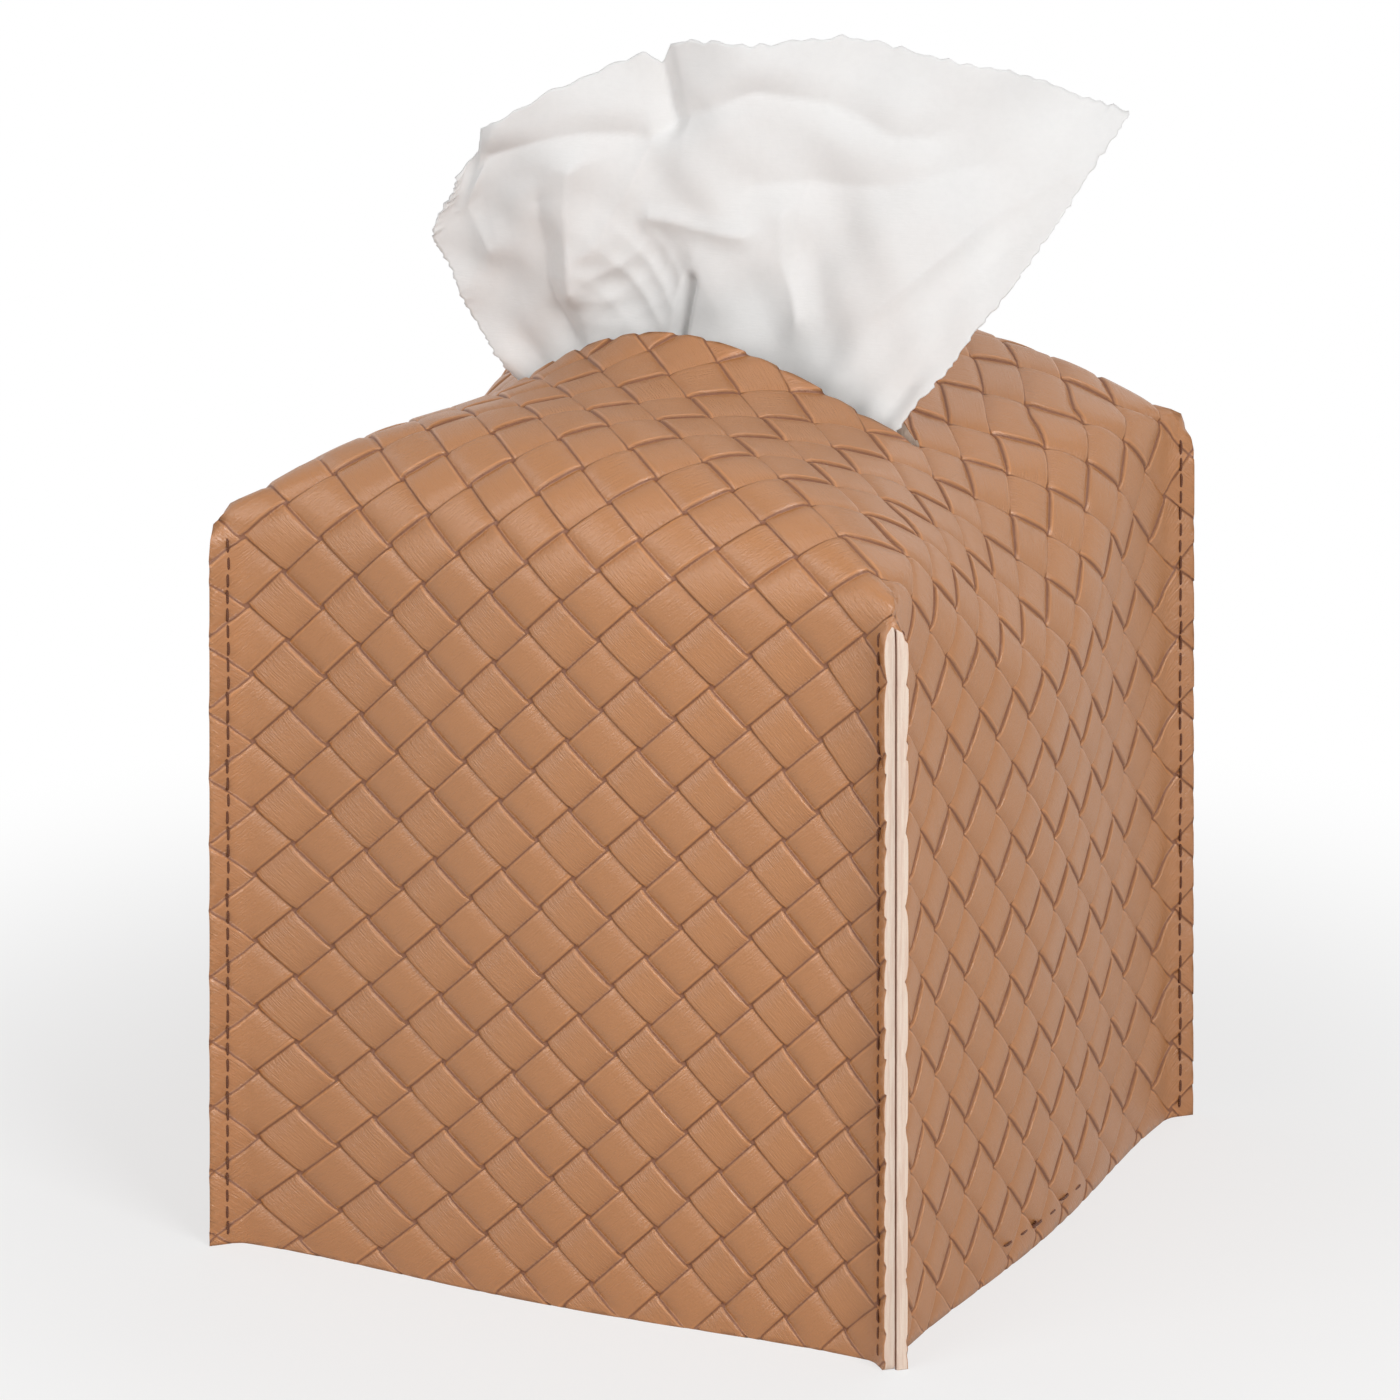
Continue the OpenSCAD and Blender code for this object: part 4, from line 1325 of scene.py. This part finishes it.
def leather_material(c, w):
    """Glossy embossed leather: strips with painted shade in the creases, a painted highlight on the rims beside
    them, slightly paler crowns, fine grain and faint draw lines.
    """
    n = new_nodes("embossed_leather")
    a, b, _ = n.parts(n.woven_place())
    i, j = a.floor(), b.floor()
    fa, fb = a - i - 0.5, b - j - 0.5
    over_b = ((i + j) % 2.0).over(0.5)
    along = fa + (fb - fa) * over_b
    across = fb + (fa - fb) * over_b
    end, side = 0.5 - abs(along), 0.5 - abs(across)
    shade = n.node("TexWhiteNoise", None, {"Vector": n.vector(i, j, 3.0)})
    metres = n.vector((a + b) * (w.repeat_x / 2), (b - a) * (w.repeat_y / 2))
    blotch = n.noise(metres, BLOTCH, 3.0, 0.6)
    # Painted shade in the creases: darker colour, wide at a strip's tucked ends and narrow along its free
    # sides, standing in for the shade that falls in the recesses
    wobble = n.noise(metres, WOBBLE, 2.0) * 0.03
    tucked = 1 - (end + wobble - 0.015).soft(0.010, 0.055)
    free = 1 - side.soft(0.0, 0.014)
    crease = (tucked * 0.82).most(free * 0.4)
    # Painted highlight: the rims beside the creases are lightened to stand in for the sheen on their rolled
    # edges, and the crowns are made a little paler towards their middles
    crown = end.soft(0.12, 0.42) * side.soft(0.05, 0.2)
    painted_rim_highlight = side.soft(0.012, 0.03) * (1 - side.soft(0.03, 0.075)) * blotch.soft(0.3, 0.65)
    base = n.mix(shade * 0.5, tinted(c.leather, 0.96), tinted(c.leather, 1.05))
    base = n.mix(blotch.soft(0.3, 0.8) * 0.3, base, tinted(c.leather, 0.92))
    base = n.mix(painted_rim_highlight * 0.75 + crown * 0.1, base, tinted(c.leather, 1.35))
    # Painted shade: the crease colour laid into the creases
    base = n.mix(crease, base, c.crease)
    # Fine pores, and draw lines where the strip bends down to its ends
    pores = n.node("TexVoronoi", None, {"Vector": metres, "Scale": PORES})
    fine = n.noise(metres, GRAIN, 3.0, 0.65)
    lines = n.noise(n.vector(along * 0.9, across * 9.0, shade * 20.0), 3.2, 3.0, 0.6, 0.4)
    groove = n.bump(crease, LEATHER_BUMP, 0.9, sunk=True)
    normal = n.bump(fine * 0.35 + pores * 0.4 + lines * 1.7, LEATHER_BUMP, 0.8, groove)
    return n.finish(base, 0.35 + crease * 0.25 + blotch * 0.1 - painted_rim_highlight * 0.06, normal, specular_ior_level=1.0)


def raw_edge_material(c, seam_h):
    """The pale cut edge: fibres in thin layers, and painted shade along the groove where the two leathers of a
    flange meet.
    """
    n = new_nodes("raw_cut_edge")
    place = n.place()
    x, y, z = n.parts(place)
    fibres = n.noise(place, EDGE_FIBRES, 4.0, 0.7)
    layers = n.noise(n.vector(x, y, z * 0.04), EDGE_LAYERS, 3.0, 0.6)
    base = n.mix(layers.soft(0.35, 0.7) * 0.6, c.cut_edge, c.cut_layer)
    base = n.mix(fibres.soft(0.4, 0.8) * 0.3, base, tinted(c.cut_edge, 0.8))
    # Painted shade in the groove where the flange's two leathers meet, below the seam's top
    meet = (1 - abs(abs(x) - abs(y)).soft(GAP_SHADE_FROM, GAP_SHADE_TO)) * (1 - z.over(seam_h))
    base = n.mix(meet * 0.85, base, c.crease)
    return n.finish(base, 0.85 + layers * 0.1, n.bump(fibres * 0.5 + layers, EDGE_BUMP, 0.8))


def backing_material(c):
    """The knitted backing on the leather's inside."""
    n = new_nodes("leather_backing")
    x, y, z = n.parts(n.place())
    knit = ((x + y) * KNIT).sin() * (z * KNIT).sin()
    base = n.mix(knit * 0.3 + 0.3, c.backing, tinted(c.backing, 0.8))
    return n.finish(base, 0.9 + knit * 0.04, n.bump(knit, KNIT_BUMP, 0.6))


def lining_material(c):
    """Plain woven cloth of two crossing threads."""
    n = new_nodes("lining_cloth")
    x, y, z = n.parts(n.place())
    turn = math.pi / CLOTH_PITCH
    warp, weft = ((x + y) * turn).sin(), (z * turn + (x - y) * (turn * CLOTH_SLANT)).sin()
    weave = abs(warp).most(abs(weft)) - abs(warp * weft) * 0.5
    loose = n.noise(n.place(), CLOTH_LOOSE, 4.0, 0.6)
    base = n.mix(weave * 0.5, tinted(c.lining, 0.82), c.lining)
    base = n.mix(loose.soft(0.4, 0.7) * 0.25, base, tinted(c.lining, 1.08))
    normal = n.bump(weave + loose * CLOTH_FUZZ, CLOTH_PITCH * CLOTH_RISE, 0.7)
    return n.finish(base, 0.82 + weave * 0.1, normal, sheen_weight=0.25, sheen_roughness=0.5)


def thread_material(c):
    """Twisted polyester thread with a slight gloss."""
    n = new_nodes("sewing_thread")
    x, y, z = n.parts(n.place())
    twist = ((x + y + z * TWIST_SLANT) * TWIST).sin()
    fuzz = n.noise(n.place(), THREAD_FUZZ)
    base = n.mix(twist * 0.5 + 0.5, tinted(c.thread, 0.6), tinted(c.thread, 1.25))
    return n.finish(base, 0.5 + fuzz * 0.2, n.bump(twist * 0.5 + fuzz * 0.3, THREAD_BUMP, 0.8))


def webbing_material(c):
    """Woven webbing with ribs along it."""
    n = new_nodes("belt_webbing")
    run, across, _ = n.parts(n.woven_place())
    rib = (across * (math.pi / RIB_PITCH)).sin()
    pick = (run * (math.pi / PICK_PITCH) + rib * 1.4).sin()
    weave = rib * 0.5 + pick * 0.5
    loose = n.noise(n.place(), WEBBING_LOOSE, 3.0)
    base = n.mix(weave * 0.4 + 0.4, tinted(c.belt, 0.72), tinted(c.belt, 1.12))
    base = n.mix(loose.soft(0.45, 0.75) * 0.25, base, tinted(c.belt, 0.85))
    return n.finish(base, 0.72 + loose * 0.15, n.bump(weave, WEBBING_BUMP, 0.8),
                    sheen_weight=0.2, sheen_roughness=0.5)


def tape_material(name, rgb):
    """Nylon hook or loop tape."""
    n = new_nodes(name)
    x, y, _ = n.parts(n.place())
    weave = (x * TAPE_WEAVE).sin() * (y * TAPE_WEAVE).sin()
    speck = n.noise(n.place(), TAPE_SPECK, 3.0)
    base = n.mix(speck.soft(0.3, 0.8), tinted(rgb, 0.75), tinted(rgb, 1.25))
    return n.finish(base, 0.55 + speck * 0.2, n.bump(weave + speck, TAPE_BUMP, 0.7))


def tissue_material(c):
    """Soft two-ply tissue: faint fibres and creping, and light that comes through."""
    n = new_nodes("tissue_paper")
    place = n.place()
    x, y, z = n.parts(place)
    fibres = n.noise(place, TISSUE_FIBRES, 5.0, 0.7)
    crepe = n.noise(n.vector(x * 0.35, y * 0.35, z * 2.2), TISSUE_CREPE)
    cloud = n.noise(place, TISSUE_CLOUD)
    base = n.mix(fibres.soft(0.35, 0.7) * 0.25 + cloud * 0.1, c.tissue, tinted(c.tissue, 0.93))
    return n.finish(base, 0.9 + fibres * 0.08, n.bump(crepe * 0.6 + fibres * 0.6, TISSUE_BUMP, 0.5),
                    subsurface_weight=0.15, subsurface_radius=(TISSUE_DEPTH,) * 3, subsurface_scale=1.0,
                    sheen_weight=0.1)


def floor_material(c):
    """A pale floor that looks white round the object and keeps its shadow."""
    n = new_nodes("pale_floor")
    x, y, _ = n.parts(n.place())
    base = n.mix(n.noise(n.place(), FLOOR_GRAIN) * 0.1, c.floor, tinted(c.floor, 0.98))
    plain = n.node("BsdfPrincipled", None, {"Base Color": base, "Roughness": 0.95})
    white = n.node("Emission", None, {"Color": WHITE, "Strength": 1.0})
    away = ((x * x + y * y) ** 0.5).soft(c.shadow_from, c.shadow_to) * (1 - SHADOW_WHITE) + SHADOW_WHITE
    return n.output("OutputMaterial", n.node("MixShader", None, {0: n.seen() * away, 1: plain, 2: white}))


# Operators: one for each piece or group of like pieces

# Each lamp's place, the height that it aims at, its width and height. Its power is the setting of its name
LAMPS = (("key", (0.88, -0.56, 0.68), 0.08, 0.5, 0.5),
         ("front", (-0.38, -1.14, 0.66), 0.08, 0.9, 0.45),
         ("left", (-1.1, 0.1, 0.45), 0.08, 0.8, 0.8),
         ("back", (0.3, 1.15, 0.45), 0.08, 0.8, 0.8),
         ("top", (0.1, 0.3, 1.1), 0.1, 0.8, 0.8))
FLOOR_HALF = 3
SENSOR_MM, SEEN_FROM, SEEN_TO = 36.0, 0.05, 20.0


class PieceOperator:
    """What the piece operators share: the leather's shape and the thread, each made once."""
    bl_options = {"REGISTER", "UNDO"}
    made = {}

    @classmethod
    def once(cls, name, build):
        """What build gives, kept from the first time that it is asked for."""
        if name not in cls.made:
            cls.made[name] = build()
        return cls.made[name]

    def leather(self):
        """The leather's shape."""
        s = settings()
        return self.once("leather", lambda: Leather(s.sizes, s.weave))

    def thread(self):
        """The thread's material."""
        return self.once("thread", lambda: thread_material(settings().colours))


class COVER_OT_leather(bpy.types.Operator, PieceOperator):
    """Makes the embossed leather cover with its cut edges and backing"""
    bl_idname = "cover.leather"
    bl_label = "Leather cover"

    def execute(self, context):
        s = settings()
        materials = [leather_material(s.colours, s.weave), raw_edge_material(s.colours, s.sizes.seam_h),
                     backing_material(s.colours)]
        mesh = self.leather().build()
        add_piece("woven_leather_cover", mesh, materials, "cover", ["leather_cover"], "leather")
        return {"FINISHED"}


class COVER_OT_lining(bpy.types.Operator, PieceOperator):
    """Makes the lining cloth inside the leather"""
    bl_idname = "cover.lining"
    bl_label = "Lining"

    def execute(self, context):
        mesh, material = lining_mesh(self.leather()), lining_material(settings().colours)
        piece = add_piece("lining_cloth", mesh, [material], "cover", ["lining"], "lining")
        return {"FINISHED"}


class COVER_OT_seams(bpy.types.Operator, PieceOperator):
    """Sews the four corner seams"""
    bl_idname = "cover.seams"
    bl_label = "Corner seams"

    def execute(self, context):
        stitches = settings().stitches
        for corner, name in zip(SIDES, ("front_right", "back_right", "back_left", "front_left")):
            mesh = seam_mesh(f"{name}_thread", self.leather(), stitches, corner)
            add_piece(f"{name}_seam_thread", mesh, [self.thread()], "cover", [f"{name}_seam"], "thread")
        return {"FINISHED"}


class COVER_OT_belts(bpy.types.Operator, PieceOperator):
    """Makes the two bottom belts and the tabs that hold them to the panels"""
    bl_idname = "cover.belts"
    bl_label = "Bottom belts"

    def execute(self, context):
        material = webbing_material(settings().colours)
        for name, side, body in (("right_belt", 1, "lower_belt"), ("left_belt", -1, "upper_belt")):
            path, thickness, width = belt_path(name, side)
            mesh = strap_mesh(f"{name}_strap", path, width, thickness, BELT_TAIL)
            add_piece(f"{name}_strap", mesh, [material], body, [name], "belt")
            path, thickness, width = tab_path(f"{name}_tab")
            mesh = strap_mesh(f"{name}_tab_strap", path, width, thickness, 0.0)
            add_piece(f"{name}_tab_strap", mesh, [material], "cover", [f"{name}_tab"], "belt")
        return {"FINISHED"}


class COVER_OT_belt_stitches(bpy.types.Operator, PieceOperator):
    """Sews the belts' tabs to the side panels"""
    bl_idname = "cover.belt_stitches"
    bl_label = "Belt stitches"

    def execute(self, context):
        stitches = settings().stitches
        for name, side in (("right_belt_stitches", 1), ("left_belt_stitches", -1)):
            mesh = belt_row_mesh(f"{name}_thread", self.leather(), stitches, side, name)
            add_piece(f"{name}_thread", mesh, [self.thread()], "cover", [name], "thread")
        return {"FINISHED"}


class COVER_OT_tapes(bpy.types.Operator, PieceOperator):
    """Makes the hook tape and the loop tape, and the stitches round them"""
    bl_idname = "cover.tapes"
    bl_label = "Hook and loop tapes"

    def execute(self, context):
        s = settings()
        for name, up, rgb, body, slot in (("hook_patch", 1, s.colours.hook, "lower_belt", "hook_tape"),
                                          ("loop_patch", -1, s.colours.loop, "upper_belt", "loop_tape")):
            mesh = Tape(name, up).build(f"{name}_tape", hooked=up > 0)
            add_piece(f"{name}_tape", mesh, [tape_material(slot, rgb)], body, [name], slot)
            row = f"{name}_stitches"
            mesh = patch_stitch_mesh(f"{row}_thread", row, s.stitches, up)
            add_piece(f"{row}_thread", mesh, [self.thread()], body, [row], "thread")
        return {"FINISHED"}


class COVER_OT_tissue(bpy.types.Operator, PieceOperator):
    """Makes the tissue that stands out of the slot"""
    bl_idname = "cover.tissue"
    bl_label = "Tissue"

    def execute(self, context):
        s = settings()
        shape = TissueShape(s.tissue, self.leather().shape)
        material = tissue_material(s.colours)
        piece = add_piece("pulled_tissue", shape.build(), [material], "tissue_sheet", ["tissue"], "tissue")
        width, height, area = shape.cut_size()
        return {"FINISHED"}


class COVER_OT_stage(bpy.types.Operator, PieceOperator):
    """Sets up the floor, the lamps, the white surround and the camera"""
    bl_idname = "cover.stage"
    bl_label = "Stage"

    def execute(self, context):
        s, scene = settings().stage, context.scene
        scene.view_settings.view_transform = "Standard"
        ends = [(-FLOOR_HALF, -FLOOR_HALF, 0), (FLOOR_HALF, -FLOOR_HALF, 0),
                (FLOOR_HALF, FLOOR_HALF, 0), (-FLOOR_HALF, FLOOR_HALF, 0)]
        floor = add_object("floor", mesh_of("floor", ends, [(0, 1, 2, 3)]))
        floor.data.materials.append(floor_material(settings().colours))
        n = Nodes(bpy.data.worlds.new("surround"))
        soft, white = (n.node("Background", None, {"Color": WHITE, "Strength": v}) for v in (s.world, 1.0))
        scene.world = n.output("OutputWorld", n.node("MixShader", None, {0: n.seen(), 1: soft, 2: white}))
        for name, place, aim_z, width, height in LAMPS:
            light = bpy.data.lights.new(name, "AREA")
            light.shape, light.size, light.size_y = "RECTANGLE", width, height
            light.energy = getattr(s, name)
            lamp = add_object(name, light)
            lamp.location = place
            lamp.rotation_euler = (Vector((0, 0, aim_z)) - Vector(place)).to_track_quat("-Z", "Y").to_euler()
        self.make_camera(scene, s)
        return {"FINISHED"}

    @staticmethod
    def make_camera(scene, s):
        """The camera at the photograph's viewing angle."""
        right = Vector((math.cos(s.azimuth), math.sin(s.azimuth), 0))
        level = math.cos(s.pitch)
        ahead = Vector((-math.sin(s.azimuth) * level, math.cos(s.azimuth) * level, -math.sin(s.pitch)))
        data = bpy.data.cameras.new("camera")
        data.sensor_fit, data.sensor_width, data.lens = "HORIZONTAL", SENSOR_MM, s.focal_mm
        data.clip_start, data.clip_end = SEEN_FROM, SEEN_TO
        scene.camera = add_object("camera", data)
        scene.camera.location = right * s.aim_right + Vector((0, 0, s.aim_up)) - ahead * s.distance
        scene.camera.rotation_euler = ahead.to_track_quat("-Z", "Y").to_euler()


STEPS = (COVER_OT_stage, COVER_OT_leather, COVER_OT_lining, COVER_OT_seams, COVER_OT_belts,
         COVER_OT_belt_stitches, COVER_OT_tapes, COVER_OT_tissue)


class CoverSettings(bpy.types.PropertyGroup):
    """All the cover's settings."""
    sizes: PointerProperty(type=CoverSizes)
    weave: PointerProperty(type=WeaveSizes)
    stitches: PointerProperty(type=StitchSizes)
    tissue: PointerProperty(type=TissueSizes)
    colours: PointerProperty(type=Colours)
    stage: PointerProperty(type=StageSettings)


class COVER_PT_pieces(bpy.types.Panel):
    """Lists the cover's pieces in the sidebar"""
    bl_idname = "COVER_PT_pieces"
    bl_label = "Tissue Box Cover"
    bl_space_type = "VIEW_3D"
    bl_region_type = "UI"
    bl_category = "Cover"

    def draw(self, context):
        for step in STEPS:
            self.layout.operator(step.bl_idname, text=step.bl_label)
        for group_name in CoverSettings.__annotations__:
            group = getattr(context.scene.cover, group_name)
            box = self.layout.box()
            for key in group.__annotations__:
                box.prop(group, key)


CLASSES = (CoverSizes, WeaveSizes, StitchSizes, TissueSizes, Colours, StageSettings, CoverSettings, *STEPS,
           COVER_PT_pieces)


def register():
    """Adds the classes and the scene's settings."""
    for cls in CLASSES:
        bpy.utils.register_class(cls)
    bpy.types.Scene.cover = PointerProperty(type=CoverSettings)


def unregister():
    """Takes them away again."""
    del bpy.types.Scene.cover
    for cls in reversed(CLASSES):
        bpy.utils.unregister_class(cls)


def main():
    """Builds every piece."""
    register()
    for step in STEPS:
        group, name = step.bl_idname.split(".")
        getattr(getattr(bpy.ops, group), name)()


if __name__ == "__main__":
    main()
